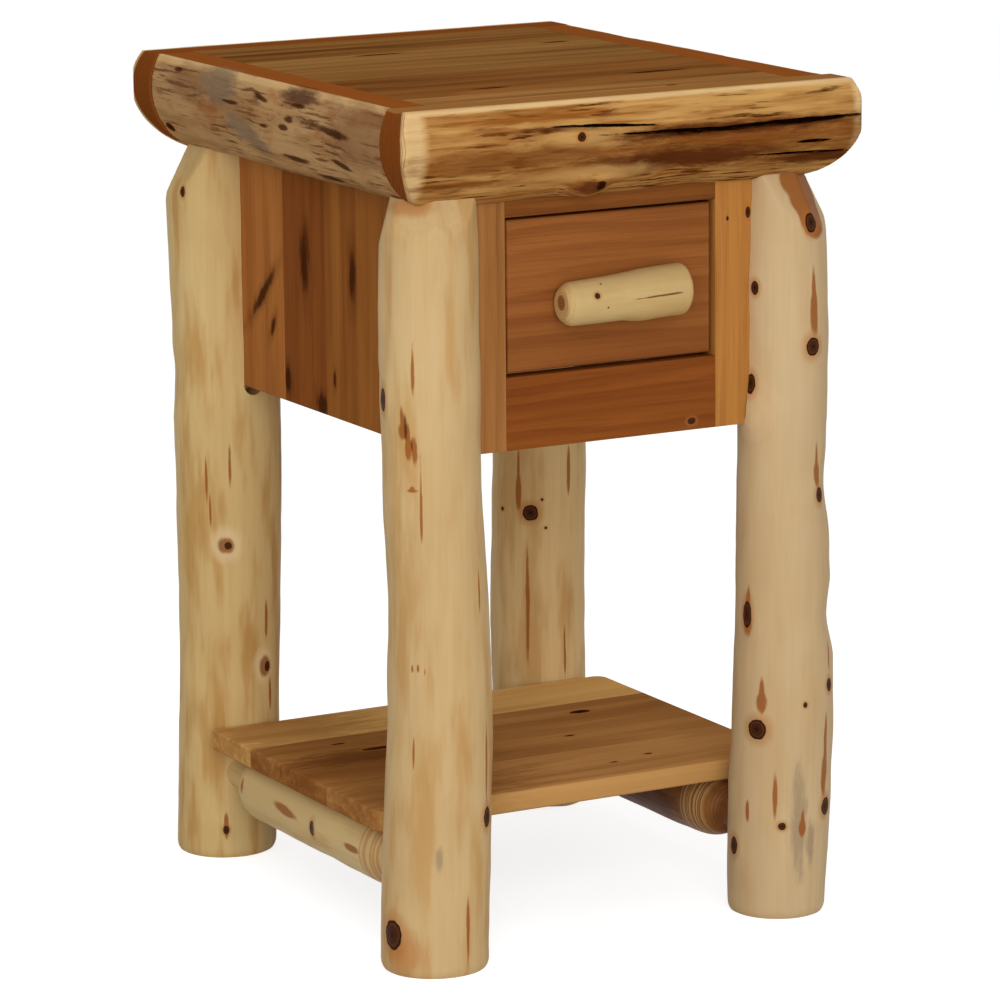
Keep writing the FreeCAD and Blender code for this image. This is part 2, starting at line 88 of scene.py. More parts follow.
def pick(piece, kind, test):
    """Select the verts, edges or faces of the piece in edit mode that pass a test."""
    mesh = bmesh.from_edit_mesh(piece.data)
    for element in getattr(mesh, kind):
        if test(element):
            element.select_set(True)
    mesh.select_flush_mode()
    bmesh.update_edit_mesh(piece.data)


def is_upright(edge):
    """Whether an edge runs up and down, not level."""
    return abs(edge.verts[0].co.z - edge.verts[1].co.z) > 10 * NEAR


def apply_place():
    """Put the place, turn and scale of the active object into its mesh."""
    bpy.ops.object.transform_apply(location=True, rotation=True, scale=True)


def add_block(middle, size):
    """A box at its size and place."""
    deselect_all()
    bpy.ops.mesh.primitive_cube_add(size=1, location=middle)
    block = bpy.context.object
    block.scale = size
    apply_place()
    return block


def modify(piece, kind, **settings):
    """Add a modifier to the piece, set it up and apply it."""
    make_active(piece)
    modifier = piece.modifiers.new(kind.title(), kind)
    for name, value in settings.items():
        setattr(modifier, name, value)
    bpy.ops.object.modifier_apply(modifier=modifier.name)


def slice_off(piece, point, normal):
    """Saw the piece along a plane and throw away what lies in front of it."""
    edit(piece)
    bpy.ops.mesh.select_all(action="SELECT")
    bpy.ops.mesh.bisect(
        plane_co=point, plane_no=normal, use_fill=True, clear_outer=True, threshold=NEAR / 10)
    bpy.ops.object.mode_set(mode="OBJECT")


def cut_with(piece, cutter, operation="DIFFERENCE"):
    modify(piece, "BOOLEAN", operation=operation, solver="MANIFOLD", object=cutter)


def discard(*pieces):
    for piece in pieces:
        bpy.data.objects.remove(piece, do_unlink=True)


print("helpers ready")

# %% [markdown]
# ## The camera
# The photograph was taken with a long lens from the front left, a little above the top. Its place
# came from matching the corners of the top, the drawer opening and the feet, so the camera is set
# from that angle, distance and focal length, not by eye.

# %% Camera
photo_width = 1000
focal_length_pixels = 5066
view_angle = math.radians(-28.58)
view_height = math.radians(11.88)
view_roll = math.radians(-0.54)
view_middle = at(0, 0, 381)
view_offset = at(11.5, -21.7, 4659)
far_end = 60

back = Vector((
    math.sin(view_angle) * math.cos(view_height),
    -math.cos(view_angle) * math.cos(view_height),
    math.sin(view_height),
))
level = Vector((math.cos(view_angle), math.sin(view_angle), 0))
upright = back.cross(level)
right = level * math.cos(view_roll) + upright * math.sin(view_roll)
up = upright * math.cos(view_roll) - level * math.sin(view_roll)
eye = view_middle + right * view_offset.x + up * view_offset.y + back * view_offset.z

deselect_all()
bpy.ops.object.camera_add()
camera = bpy.context.object
camera.matrix_world = Matrix.Translation(eye) @ Matrix((right, up, back)).transposed().to_4x4()
camera.data.sensor_width = 36
camera.data.lens = camera.data.sensor_width * focal_length_pixels / photo_width
camera.data.clip_end = far_end
bpy.context.scene.camera = camera
print("camera at", [round(v, 3) for v in eye], "lens", round(camera.data.lens, 1))

# %% [markdown]
# ## Node helpers
# Every finish here is a network of shader nodes. Short helpers keep the networks readable: one adds
# a node and wires it, and the others cover the sums, fades, mixes and noises used most. Colours are
# written as they look on screen, from 0 to 255, and turned into linear light.

# %% Node helpers
def linear(red, green, blue):
    """A screen colour as the linear colour that shader sockets expect."""
    def channel(value):
        value = value / 255
        return value / 12.92 if value <= 0.04045 else ((value + 0.055) / 1.055) ** 2.4
    return (channel(red), channel(green), channel(blue), 1.0)


def add_node(tree, kind, inputs=None, **settings):
    """Add a node. An input given as a socket is linked, and any other value is set."""
    made = tree.nodes.new(kind)
    for name, value in settings.items():
        setattr(made, name, value)
    for key, value in (inputs or {}).items():
        if isinstance(value, bpy.types.NodeSocket):
            tree.links.new(value, made.inputs[key])
        else:
            made.inputs[key].default_value = value
    return made


def sums(tree, operation, first, second=0.0):
    return add_node(tree, "ShaderNodeMath", {0: first, 1: second}, operation=operation).outputs[0]


def times(tree, first, second):
    return sums(tree, "MULTIPLY", first, second)


def plus(tree, first, second):
    return sums(tree, "ADD", first, second)


def minus(tree, first, second):
    return sums(tree, "SUBTRACT", first, second)


def vectors(tree, operation, first, second=(0, 0, 0)):
    return add_node(tree, "ShaderNodeVectorMath", {0: first, 1: second}, operation=operation).outputs


def from_axis(tree, place):
    """How far a point lies from the middle line of its log or tree."""
    across = vectors(tree, "MULTIPLY", place, (1, 1, 0))[0]
    return vectors(tree, "LENGTH", across)["Value"]


def fade(tree, value, start, end, low=0.0, high=1.0):
    """A value that goes softly from low at start to high at end."""
    inputs = {"Value": value, "From Min": start, "From Max": end, "To Min": low, "To Max": high}
    ramp = add_node(tree, "ShaderNodeMapRange", inputs, interpolation_type="SMOOTHSTEP")
    return ramp.outputs["Result"]


def mix(tree, factor, first, second, blend="MIX"):
    inputs = {0: factor, 6: first, 7: second}
    return add_node(tree, "ShaderNodeMix", inputs, data_type="RGBA", blend_type=blend).outputs[2]


def noise(tree, place, stretch, scale, detail=3.0, roughness=0.55):
    """Noise that is drawn out along any axis whose stretch is under 1."""
    drawn = vectors(tree, "MULTIPLY", place, stretch)[0]
    inputs = {"Vector": drawn, "Scale": scale, "Detail": detail, "Roughness": roughness}
    return add_node(tree, "ShaderNodeTexNoise", inputs).outputs["Fac"]


def new_group(name, inputs, outputs):
    """Start a node group with named sockets, and give back its tree, its inputs and its outputs."""
    tree = bpy.data.node_groups.new(name, "ShaderNodeTree")
    for label, kind in inputs:
        tree.interface.new_socket(label, in_out="INPUT", socket_type=kind)
    for label, kind in outputs:
        tree.interface.new_socket(label, in_out="OUTPUT", socket_type=kind)
    given = tree.nodes.new("NodeGroupInput").outputs
    result = tree.nodes.new("NodeGroupOutput").inputs
    return tree, given, result


VECTOR, COLOUR, NUMBER = "NodeSocketVector", "NodeSocketColor", "NodeSocketFloat"
print("node helpers ready")

# %% [markdown]
# ## Wood of a peeled log
# A log is pale sapwood outside and red-brown heartwood inside, in rings round its centre. The group
# works in three dimensions: it measures how far a point lies from the log's middle line, so wherever
# a saw or drawknife has cut deep enough, the darker heartwood and the rings come up by themselves.

# %% Log wood group
ring_pitch = 2.7 * MM
log_wood, given, result = new_group(
    "Log Wood",
    [("Place", VECTOR), ("Sapwood", COLOUR), ("Warm", COLOUR), ("Heartwood", COLOUR), ("Dash", COLOUR),
     ("Sanded", COLOUR), ("Heart Radius", NUMBER), ("Warmth", NUMBER), ("Streaks", NUMBER),
     ("Dashes", NUMBER), ("Blotches", NUMBER), ("Clean", NUMBER), ("End Grain", NUMBER)],
    [("Color", COLOUR), ("Height", NUMBER), ("Roughness", NUMBER)],
)
place = given["Place"]
natural = minus(log_wood, 1.0, given["Clean"])
wander = times(log_wood, noise(log_wood, place, (1, 1, 0.3), 16, 3), 0.004)
radius = plus(log_wood, from_axis(log_wood, place), wander)
rings = sums(log_wood, "SINE", times(log_wood, radius, math.tau / ring_pitch))
sawn_across = fade(log_wood, given["End Grain"], 0.45, 0.9, 0.05, 0.6)
ring_line = times(log_wood, fade(log_wood, rings, 0.0, 1.0), sawn_across)
heart = fade(log_wood, minus(log_wood, radius, given["Heart Radius"]), 0.0040, 0.0020)
print("log rings every", round(ring_pitch / MM, 1), "mm")

# %% Sapwood of the log: streaks, blotches and dashes along the grain
fibre = noise(log_wood, place, (1, 1, 0.03), 300, 4, 0.65)
broad = fade(log_wood, noise(log_wood, place, (1, 1, 0.18), 44, 3, 0.5), 0.46, 0.68, 0.0, 0.60)
medium = fade(log_wood, noise(log_wood, place, (1, 1, 0.09), 60, 3, 0.6), 0.42, 0.66, 0.0, 0.60)
narrow = fade(log_wood, noise(log_wood, place, (1, 1, 0.06), 170, 4, 0.6), 0.46, 0.64, 0.0, 0.70)
patch = noise(log_wood, place, (1, 1, 0.3), 13, 2)
lines = times(log_wood, plus(log_wood, medium, narrow), given["Streaks"])
warm = times(log_wood, plus(log_wood, broad, lines), given["Warmth"])
sap = mix(log_wood, times(log_wood, warm, natural), given["Sapwood"], given["Warm"])
sap = mix(log_wood, fade(log_wood, patch, 0.40, 0.70, 0.0, 0.20), sap, (1, 1, 1, 1), "SOFT_LIGHT")
sap = mix(log_wood, given["Clean"], sap, given["Sanded"])
sap = mix(log_wood, ring_line, sap, given["Warm"])
blotch = fade(log_wood, noise(log_wood, place, (1, 1, 0.40), 62, 6, 0.65), 0.50, 0.66)
blotch = times(log_wood, times(log_wood, blotch, given["Blotches"]), natural)
sap = mix(log_wood, blotch, sap, given["Heartwood"])
dash = fade(log_wood, noise(log_wood, place, (1, 1, 0.07), 300, 4, 0.6), 0.53, 0.61)
cluster = fade(log_wood, noise(log_wood, place, (1, 1, 0.4), 34, 3), 0.38, 0.58)
dash = times(log_wood, times(log_wood, dash, cluster), given["Dashes"])
dash = times(log_wood, dash, natural)
sap = mix(log_wood, dash, sap, given["Dash"])
print("sapwood made:", len(log_wood.nodes), "nodes so far")

# %% Heartwood of the log, and what the group gives out
core = mix(log_wood, ring_line, given["Heartwood"], given["Dash"])
wood = mix(log_wood, heart, sap, core)
streaked = fade(log_wood, given["Streaks"], 0.0, 0.8, 0.25, 1.0)
fibre_line = times(log_wood, fade(log_wood, fibre, 0.35, 0.75, 0.0, 0.22), streaked)
wood = mix(log_wood, fibre_line, wood, given["Warm"], "MULTIPLY")
relief = minus(log_wood, times(log_wood, fibre, 0.5), times(log_wood, dash, 1.2))
relief = times(log_wood, relief, fade(log_wood, natural, 0.0, 1.0, 0.3, 1.0))
log_wood.links.new(wood, result["Color"])
log_wood.links.new(relief, result["Height"])
log_wood.links.new(fade(log_wood, fibre, 0.3, 0.7, 0.40, 0.56), result["Roughness"])
print("group", log_wood.name, len(log_wood.nodes), "nodes")

# %% [markdown]
# ## Wood of a sawn board
# A board is a slice out of a wide log, so its grain is the same set of rings, cut nearly flat. The
# group takes the place of the tree's middle line from a Mapping node, bends the rings with noise, and
# shades each one from pale spring wood to a dark summer line. Long soft streaks lie over that.

# %% Board grain group
board_grain, given, result = new_group(
    "Board Grain",
    [("Place", VECTOR), ("Pale", COLOUR), ("Dark", COLOUR), ("Ring Pitch", NUMBER), ("Figure", NUMBER),
     ("End Grain", NUMBER)],
    [("Color", COLOUR), ("Height", NUMBER), ("Roughness", NUMBER)],
)
place = given["Place"]
bend = times(board_grain, noise(board_grain, place, (1, 1, 0.22), 9, 2), 0.045)
ripple = times(board_grain, noise(board_grain, place, (1, 1, 0.08), 90, 2), 0.005)
radius = plus(board_grain, plus(board_grain, from_axis(board_grain, place), bend), ripple)
turn = sums(board_grain, "FRACT", sums(board_grain, "DIVIDE", radius, given["Ring Pitch"]))
summer = times(board_grain, fade(board_grain, turn, 0.15, 0.85), fade(board_grain, turn, 1.0, 0.86))
figure = times(board_grain, summer, given["Figure"])
print("board rings made:", len(board_grain.nodes), "nodes so far")

# %% Streaks and pores of the board
streak = noise(board_grain, place, (1, 1, 0.05), 34, 4, 0.6)
tint = noise(board_grain, place, (1, 1, 0.20), 8, 2)
pore = noise(board_grain, place, (1, 1, 0.02), 520, 3, 0.7)
shade = plus(board_grain, figure, fade(board_grain, streak, 0.38, 0.72, 0.0, 0.5))
shade = plus(board_grain, shade, fade(board_grain, tint, 0.35, 0.68, -0.15, 0.35))
shade = plus(board_grain, shade, fade(board_grain, given["End Grain"], 0.5, 0.9, 0.0, 0.35))
wood = mix(board_grain, shade, given["Pale"], given["Dark"])
wood = mix(board_grain, fade(board_grain, pore, 0.45, 0.72, 0.0, 0.22), wood, given["Dark"], "MULTIPLY")
board_grain.links.new(wood, result["Color"])
board_grain.links.new(plus(board_grain, pore, times(board_grain, summer, 0.3)), result["Height"])
board_grain.links.new(fade(board_grain, pore, 0.3, 0.7, 0.40, 0.55), result["Roughness"])
print("group", board_grain.name, len(board_grain.nodes), "nodes")

# %% [markdown]
# ## Knots, flames and stains
# Branches leave knots: a dark core, brown rings, a near-black rim and an orange halo where resin has
# bled. Resin streaks and grey stains are the same idea with softer edges. Each mark is an egg-shaped
# zone in space. The group only needs to know how far a point is from the nearest one, 1 being the rim.

# %% Knot group
knot_look, given, result = new_group(
    "Knot", [("Color", COLOUR), ("Place", VECTOR), ("Distance", NUMBER)],
    [("Color", COLOUR), ("Height", NUMBER)],
)
ragged = times(knot_look, noise(knot_look, given["Place"], (1, 1, 1), 190, 3), 0.32)
distance = minus(knot_look, plus(knot_look, given["Distance"], ragged), 0.16)
halo = mix(knot_look, fade(knot_look, distance, 2.2, 1.0, 0.0, 0.50), given["Color"], linear(172, 106, 46))
growth = sums(knot_look, "SINE", times(knot_look, distance, 15.0))
body = mix(knot_look, fade(knot_look, growth, -0.4, 1.0), linear(82, 44, 21), linear(60, 31, 14))
body = mix(knot_look, fade(knot_look, distance, 0.60, 0.10), body, linear(42, 20, 9))
body = mix(knot_look, fade(knot_look, distance, 0.76, 0.95), body, linear(38, 17, 7))
inside = fade(knot_look, distance, 1.10, 0.97)
knot_look.links.new(mix(knot_look, inside, halo, body), result["Color"])
sunk = fade(knot_look, distance, 0.5, 0.95, -1.2, 0.6)
knot_look.links.new(times(knot_look, inside, sunk), result["Height"])
print("group", knot_look.name, len(knot_look.nodes), "nodes")

# %% Stain group
stain_look, given, result = new_group(
    "Stain",
    [("Color", COLOUR), ("Place", VECTOR), ("Distance", NUMBER), ("Stain", COLOUR), ("Cover", NUMBER),
     ("Softness", NUMBER), ("Ragged", NUMBER)],
    [("Color", COLOUR)],
)
ragged = minus(stain_look, noise(stain_look, given["Place"], (1, 1, 0.22), 140, 6, 0.7), 0.5)
distance = plus(stain_look, given["Distance"], times(stain_look, ragged, given["Ragged"]))
edge = plus(stain_look, given["Softness"], 1.0)
border = times(stain_look, given["Softness"], 1.6)
within = sums(stain_look, "DIVIDE", minus(stain_look, edge, distance), border)
cover = times(stain_look, fade(stain_look, within, 0.0, 1.0), given["Cover"])
stain_look.links.new(mix(stain_look, cover, given["Color"], given["Stain"]), result["Color"])
print("group", stain_look.name, len(stain_look.nodes), "nodes")

# %% Sanded zones and distances to marks
run_together = 0.45


def clean_mask(tree, place, bands):
    """Where the sander has taken the natural surface away, as soft steps along x, y or z."""
    parts = add_node(tree, "ShaderNodeSeparateXYZ", {0: place}).outputs
    mask = None
    for axis, start, end in bands:
        band = fade(tree, parts[axis], start * MM, end * MM)
        mask = band if mask is None else sums(tree, "MAXIMUM", mask, band)
    return mask


def nearest(tree, place, marks):
    """Distance to the nearest mark, in units of that mark's own size. Marks that meet run together."""
    closest = None
    for centre, size, turn in marks:
        inputs = {"Vector": place, "Location": centre, "Rotation": turn, "Scale": size}
        zone = add_node(tree, "ShaderNodeMapping", inputs, vector_type="TEXTURE").outputs[0]
        distance = vectors(tree, "LENGTH", zone)["Value"]
        if closest is None:
            closest = distance
        else:
            inputs = {0: closest, 1: distance, 2: run_together}
            closest = add_node(tree, "ShaderNodeMath", inputs, operation="SMOOTH_MIN").outputs[0]
    return closest


print("marks run together over", run_together, "of their size")

# %% Materials from the groups
UPRIGHT = (0, 0, 0)
ALONG_X = (0, math.radians(90), 0)
ALONG_Y = (math.radians(-90), 0, 0)
usual_ragged = 2.4
relief_depth = 0.8 * MM
tilt = math.radians


def mark(x, y, z, half_x, half_y, half_z, turn=UPRIGHT):
    """The zone of a knot or stain: its middle, its half-sizes and its turn."""
    return at(x, y, z), at(half_x, half_y, half_z), turn


def wood_material(name, group, origin, turn, values, knots=(), stains=(), clean=(), bump=0.35, gloss=0.06):
    """A lacquered wood: a grain group set along the piece, with its own stains and knots over it.

    A stain is its colour, its cover, the softness of its edge, its marks and how ragged the edge is.
    """
    material = bpy.data.materials.new(name)
    material.use_nodes = True
    tree = material.node_tree
    shader = tree.nodes["Principled BSDF"]
    coordinates = tree.nodes.new("ShaderNodeTexCoord").outputs
    place = coordinates["Object"]
    inputs = {"Vector": place, "Location": origin, "Rotation": turn}
    along = add_node(tree, "ShaderNodeMapping", inputs, vector_type="TEXTURE").outputs[0]
    axis = Euler(turn).to_matrix() @ Vector((0, 0, 1))
    facing = vectors(tree, "DOT_PRODUCT", coordinates["Normal"], axis)["Value"]
    inputs = {"Place": along, "End Grain": sums(tree, "ABSOLUTE", facing), **values}
    if clean:
        inputs["Clean"] = clean_mask(tree, place, clean)
    grain = add_node(tree, "ShaderNodeGroup", inputs, node_tree=group).outputs
    colour, height = grain["Color"], grain["Height"]
    # Some of these stains are painted shade or painted light, not colour of the wood.
    for tint, cover, softness, marks, *ragged in stains:
        inputs = {
            "Color": colour, "Place": along, "Distance": nearest(tree, place, marks), "Stain": tint,
            "Cover": cover, "Softness": softness, "Ragged": ragged[0] if ragged else usual_ragged,
        }
        colour = add_node(tree, "ShaderNodeGroup", inputs, node_tree=stain_look).outputs["Color"]
    if knots:
        inputs = {"Color": colour, "Place": place, "Distance": nearest(tree, place, knots)}
        knot = add_node(tree, "ShaderNodeGroup", inputs, node_tree=knot_look).outputs
        colour, height = knot["Color"], plus(tree, height, knot["Height"])
    inputs = {"Strength": bump, "Distance": relief_depth, "Height": height}
    relief = add_node(tree, "ShaderNodeBump", inputs).outputs["Normal"]
    for socket, label in ((colour, "Base Color"), (grain["Roughness"], "Roughness"), (relief, "Normal")):
        tree.links.new(socket, shader.inputs[label])
    shader.inputs["Specular IOR Level"].default_value = gloss
    return material


def dress(part, material):
    """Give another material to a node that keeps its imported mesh."""
    for slot in part.material_slots:
        slot.material = material


print("materials can be made")

# %% [markdown]
# ## Growing a log
# A peeled log is a stack of slightly different rings. The way to grow one by hand is to start with a
# filled circle, extrude it a little, scale the new end, and go on to the far end. That gives full
# control of every swelling and lean, which a scaled cylinder would not.

# %% Log tools
smooth_below = math.radians(40)


def grow_log(name, rings, turn, sides=96):
    """Extrude a round log from ring to ring, each given as its centre and radius."""
    deselect_all()
    centre, radius = rings[0]
    bpy.ops.mesh.primitive_circle_add(
        vertices=sides, radius=radius, fill_type="NGON", location=centre, rotation=turn)
    log = bpy.context.object
    log.name = name
    apply_place()
    edit(log)
    bpy.ops.mesh.select_all(action="SELECT")
    for next_centre, next_radius in rings[1:]:
        bpy.ops.mesh.extrude_region_move(TRANSFORM_OT_translate={"value": next_centre - centre})
        grown = next_radius / radius
        bpy.ops.transform.resize(value=(grown, grown, grown), center_override=next_centre)
        centre, radius = next_centre, next_radius
    bpy.ops.mesh.select_all(action="SELECT")
    bpy.ops.mesh.normals_make_consistent(inside=False)
    bpy.ops.object.mode_set(mode="OBJECT")
    return log


def undulate(piece, name, spread, depth, level=0.5):
    """Push the surface in and out by soft clouds, as a drawknife leaves it."""
    clouds = bpy.data.textures.new(name, "CLOUDS")
    clouds.noise_scale = spread * MM
    clouds.noise_depth = 2
    modify(
        piece, "DISPLACE", texture=clouds, strength=depth * MM, mid_level=level, texture_coords="LOCAL")


def soften(piece, voxel, rounds):
    """Rebuild the piece as an even fine mesh and ease its edges, as sanding does."""
    modify(piece, "REMESH", mode="VOXEL", voxel_size=voxel * MM)
    modify(piece, "SMOOTH", factor=0.5, iterations=rounds)


def swell(piece, point, outward, size, height):
    """Raise a soft bump round the vertex nearest to a point, or sink a hollow by a height below 0."""
    edit(piece)
    mesh = bmesh.from_edit_mesh(piece.data)
    top = min(mesh.verts, key=lambda vertex: (vertex.co - point).length_squared)
    top.select_set(True)
    mesh.select_flush_mode()
    bmesh.update_edit_mesh(piece.data)
    bpy.ops.transform.translate(
        value=outward * height * MM, use_proportional_edit=True,
        proportional_edit_falloff="SMOOTH", proportional_size=size * MM,
    )
    bpy.ops.object.mode_set(mode="OBJECT")


def hand_over(piece, material, slot, body, *nodes):
    """Give a finished piece its wood, and let it stand for its CAD nodes on their body."""
    make_active(piece)
    bpy.ops.object.shade_smooth_by_angle(angle=smooth_below)
    piece.data.materials.clear()
    piece.data.materials.append(material)
    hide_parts(*nodes)
    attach(piece, body)


print("log tools ready")

# %% [markdown]
# ## The half-log edging of the top
# The top is framed by four half-logs: sawn flat on the inside and on top, round outside. The front
# and back logs run the full width, and their ends are rounded down like the side logs they meet. Each
# is grown as a whole log, dented by clouds, trimmed with saw cuts, and only then remeshed, so the
# worn arrises come out soft. The inner saw cut is made last, to stay crisp against the boards.

# %% Edging shapes
height = 762
half_width, half_depth = 226, 276
front_extra = 8
sawn_x, sawn_y = 181, 231
log_radius, log_middle = 62, 731
corner_round = 12
spare, end_spare = 8, 2
hewn_depth = 3.0


def end_shape(extra):
    """Space that a long log fills: a long rounded bar in front view, with round corners in plan."""
    deselect_all()
    bpy.ops.mesh.primitive_cylinder_add(
        vertices=128, radius=log_radius * MM, depth=2 * half_depth * MM,
        location=at(0, 0, log_middle), rotation=(math.radians(90), 0, 0),
    )
    bar = bpy.context.object
    apply_place()
    for sign, reach in ((-1, half_width), (1, half_width + extra)):
        edit(bar)
        pick(bar, "verts", lambda vertex: vertex.co.x * sign > NEAR)
        bpy.ops.transform.translate(value=at(sign * (reach - log_radius), 0, 0))
    plan_size = at(2 * half_width + extra, 2 * half_depth, 4 * log_radius)
    plan = add_block(at(extra / 2, 0, log_middle), plan_size)
    edit(plan, "EDGE")
    pick(plan, "edges", is_upright)
    bpy.ops.mesh.bevel(offset=corner_round * MM, segments=8)
    bpy.ops.object.mode_set(mode="OBJECT")
    cut_with(bar, plan, "INTERSECT")
    discard(plan)
    return bar


def edging_rings(along_x, sign, thinning, start, end, steps=44):
    """Rings of one edging log, thinned at even steps along it."""
    rings = []
    for step in range(steps + 1):
        share = step / steps
        along = start + (end - start) * share
        place = share * (len(thinning) - 1)
        index = min(int(place), len(thinning) - 2)
        thin = thinning[index] + (thinning[index + 1] - thinning[index]) * (place - index)
        if along_x:
            centre = at(along, sign * (half_depth - log_radius), log_middle)
        else:
            centre = at(sign * (half_width - log_radius), along, log_middle)
        rings.append((centre, (log_radius + thin) * MM))
    return rings


long_thinning = [-1, 0, -2, -0.5, -1.5, 0, -1]
short_thinning = [0, -1.5, -0.5, -2, 0]
half_logs = {}
for side, sign, extra in (("front", -1, front_extra), ("back", 1, 0)):
    rings = edging_rings(
        True, sign, long_thinning[::sign], -half_width - end_spare, half_width + extra + end_spare)
    log = grow_log("half_log_" + side, rings, ALONG_X)
    undulate(log, "hewn_" + side, 55, hewn_depth, 1.0)
    slice_off(log, at(0, 0, height), (0, 0, 1))
    slice_off(log, at(0, sign * (sawn_y - spare), 0), (0, -sign, 0))
    ends = end_shape(extra)
    cut_with(log, ends, "INTERSECT")
    discard(ends)
    half_logs[side] = log
for side, sign in (("left", -1), ("right", 1)):
    rings = edging_rings(False, sign, short_thinning[::sign], -sawn_y, sawn_y)
    log = grow_log("half_log_" + side, rings, ALONG_Y)
    undulate(log, "hewn_" + side, 45, hewn_depth, 1.0)
    slice_off(log, at(0, 0, height), (0, 0, 1))
    slice_off(log, at(sign * (sawn_x - spare), 0, 0), (-sign, 0, 0))
    half_logs[side] = log
for log in half_logs.values():
    soften(log, 1.5, 3)
    print(log.name, len(log.data.polygons), "faces")

# %% [markdown]
# ### Lumps and checks of the front log
# The front log shows what drying does: long black checks along the grain, and a lump where a branch
# was trimmed. A check is a real gap, so it is cut with a thin pointed sliver, and its dark inside is
# also painted near-black as painted shade.

# %% Checks and lumps
def sliver(start, end, half_height, depth):
    """A thin lens that cuts one drying check between two points of the surface."""
    middle = (start + end) / 2
    reach = end - start
    deselect_all()
    bpy.ops.mesh.primitive_ico_sphere_add(subdivisions=4, radius=1, location=middle)
    lens = bpy.context.object
    lens.scale = (reach.length / 2, depth * MM, half_height * MM)
    slope = math.asin(reach.z / reach.length)
    turn = math.atan2(reach.y, reach.x)
    lens.rotation_euler = (0, -slope, turn)
    apply_place()
    undulate(lens, "ragged_check", 14, 2.4)
    return lens


front_checks = [
    (at(-84, -274, 741), at(-20, -274.5, 739.5), 1.0, 6),
    (at(-52, -274.5, 740), at(20, -275, 736), 1.6, 7),
    (at(-12, -275, 730.2), at(130, -275, 727), 1.8, 8),
    (at(55, -275, 727), at(216, -275, 730), 2.4, 9),
    (at(150, -275, 728.5), at(224, -275, 730.5), 1.8, 8),
    (at(166, -272.5, 710), at(200, -272.5, 710), 1.4, 7),
    (at(126, -266.5, 701), at(222, -265.5, 698), 1.2, 6),
    (at(-206, -265, 696), at(-160, -265, 696), 0.7, 4),
]
front_lumps = [
    (at(-36, -248, 681), Vector((0, -0.6, -0.6)), 28, 8.5),
    (at(-10, -266, 699), Vector((0, -0.7, -0.3)), 24, 2.5),
    (at(-53, -275, 731), Vector((0, -1, 0)), 24, 2.0),
    (at(45, -268, 705), Vector((0, 1, 0.2)), 30, 3.5),
]
for lump in front_lumps:
    swell(half_logs["front"], *lump)
for check in front_checks:
    lens = sliver(*check)
    cut_with(half_logs["front"], lens)
    discard(lens)
for side, sign in (("front", -1), ("back", 1)):
    slice_off(half_logs[side], at(0, sign * sawn_y, 0), (0, -sign, 0))
for side, sign in (("left", -1), ("right", 1)):
    slice_off(half_logs[side], at(sign * sawn_x, 0, 0), (-sign, 0, 0))
print("front log has", len(front_lumps), "lumps and", len(front_checks), "checks")

# %% Edging wood
hewn_log = {
    "Sapwood": linear(196, 150, 86), "Warm": linear(146, 88, 36), "Heartwood": linear(138, 75, 30),
    "Sanded": linear(214, 178, 124), "Dash": linear(84, 42, 16), "Heart Radius": 53 * MM,
    "Warmth": 0.85, "Streaks": 0.9, "Dashes": 1.0,
}
grey_log = {
    "Sapwood": linear(188, 148, 100), "Warm": linear(140, 94, 54), "Heartwood": linear(148, 82, 33),
    "Sanded": linear(206, 168, 116), "Dash": linear(76, 40, 22), "Heart Radius": 57 * MM,
    "Warmth": 0.7, "Streaks": 0.3, "Dashes": 0.7, "Blotches": 0.45,
}
front_stains_and_shade = [
    (linear(122, 69, 27), 0.85, 0.8, [
        mark(85, -268, 710, 160, 30, 18), mark(-115, -274, 716, 85, 20, 9),
        mark(-172, -266, 696, 38, 8, 3)]),
    (linear(78, 36, 13), 0.85, 0.7, [
        mark(50, -268, 704, 80, 16, 8), mark(10, -265, 696, 15, 8, 4), mark(192, -264, 694, 40, 12, 5),
        mark(-60, -274, 738, 30, 8, 2.5, (0, tilt(4), 0)), mark(100, -272, 728.5, 125, 12, 4.5)]),
    (linear(198, 152, 90), 0.7, 0.8, [
        mark(-50, -275, 731, 26, 12, 6), mark(-34, -262, 697, 46, 14, 6)]),
    (linear(138, 82, 38), 0.9, 0.4, [mark(-37, -251, 685, 20, 16, 10)]),
    (linear(92, 48, 20), 0.9, 0.35, [mark(-34, -252, 685, 13, 14, 7)]),
    (linear(40, 18, 8), 0.95, 0.4, [mark(-25, -254, 686, 5, 9, 5)]),
    # Painted shade: the insides and lips of the checks painted near-black, as the shade in a deep gap.
    (linear(22, 10, 5), 1.0, 0.25, [
        mark(-60, -273, 740.5, 24, 8, 0.7, (0, tilt(1.5), 0)),
        mark(-16, -272, 738, 38, 10, 1.4, (0, tilt(3.2), 0)),
        mark(58, -272, 728.8, 72, 10, 1.4, (0, tilt(1.3), 0)),
        mark(135, -272, 728.5, 84, 10, 2.0, (0, tilt(-1.1), 0)),
        mark(190, -272, 729.6, 30, 10, 1.6, (0, tilt(-1.5), 0)),
        mark(183, -270, 710, 17, 8, 1.3), mark(174, -264, 699.5, 48, 8, 1.0, (0, tilt(1.8), 0))]),
    (linear(160, 113, 60), 0.75, 0.3, [mark(10, -243, 762, 360, 17, 2.5)], 0.3),
]
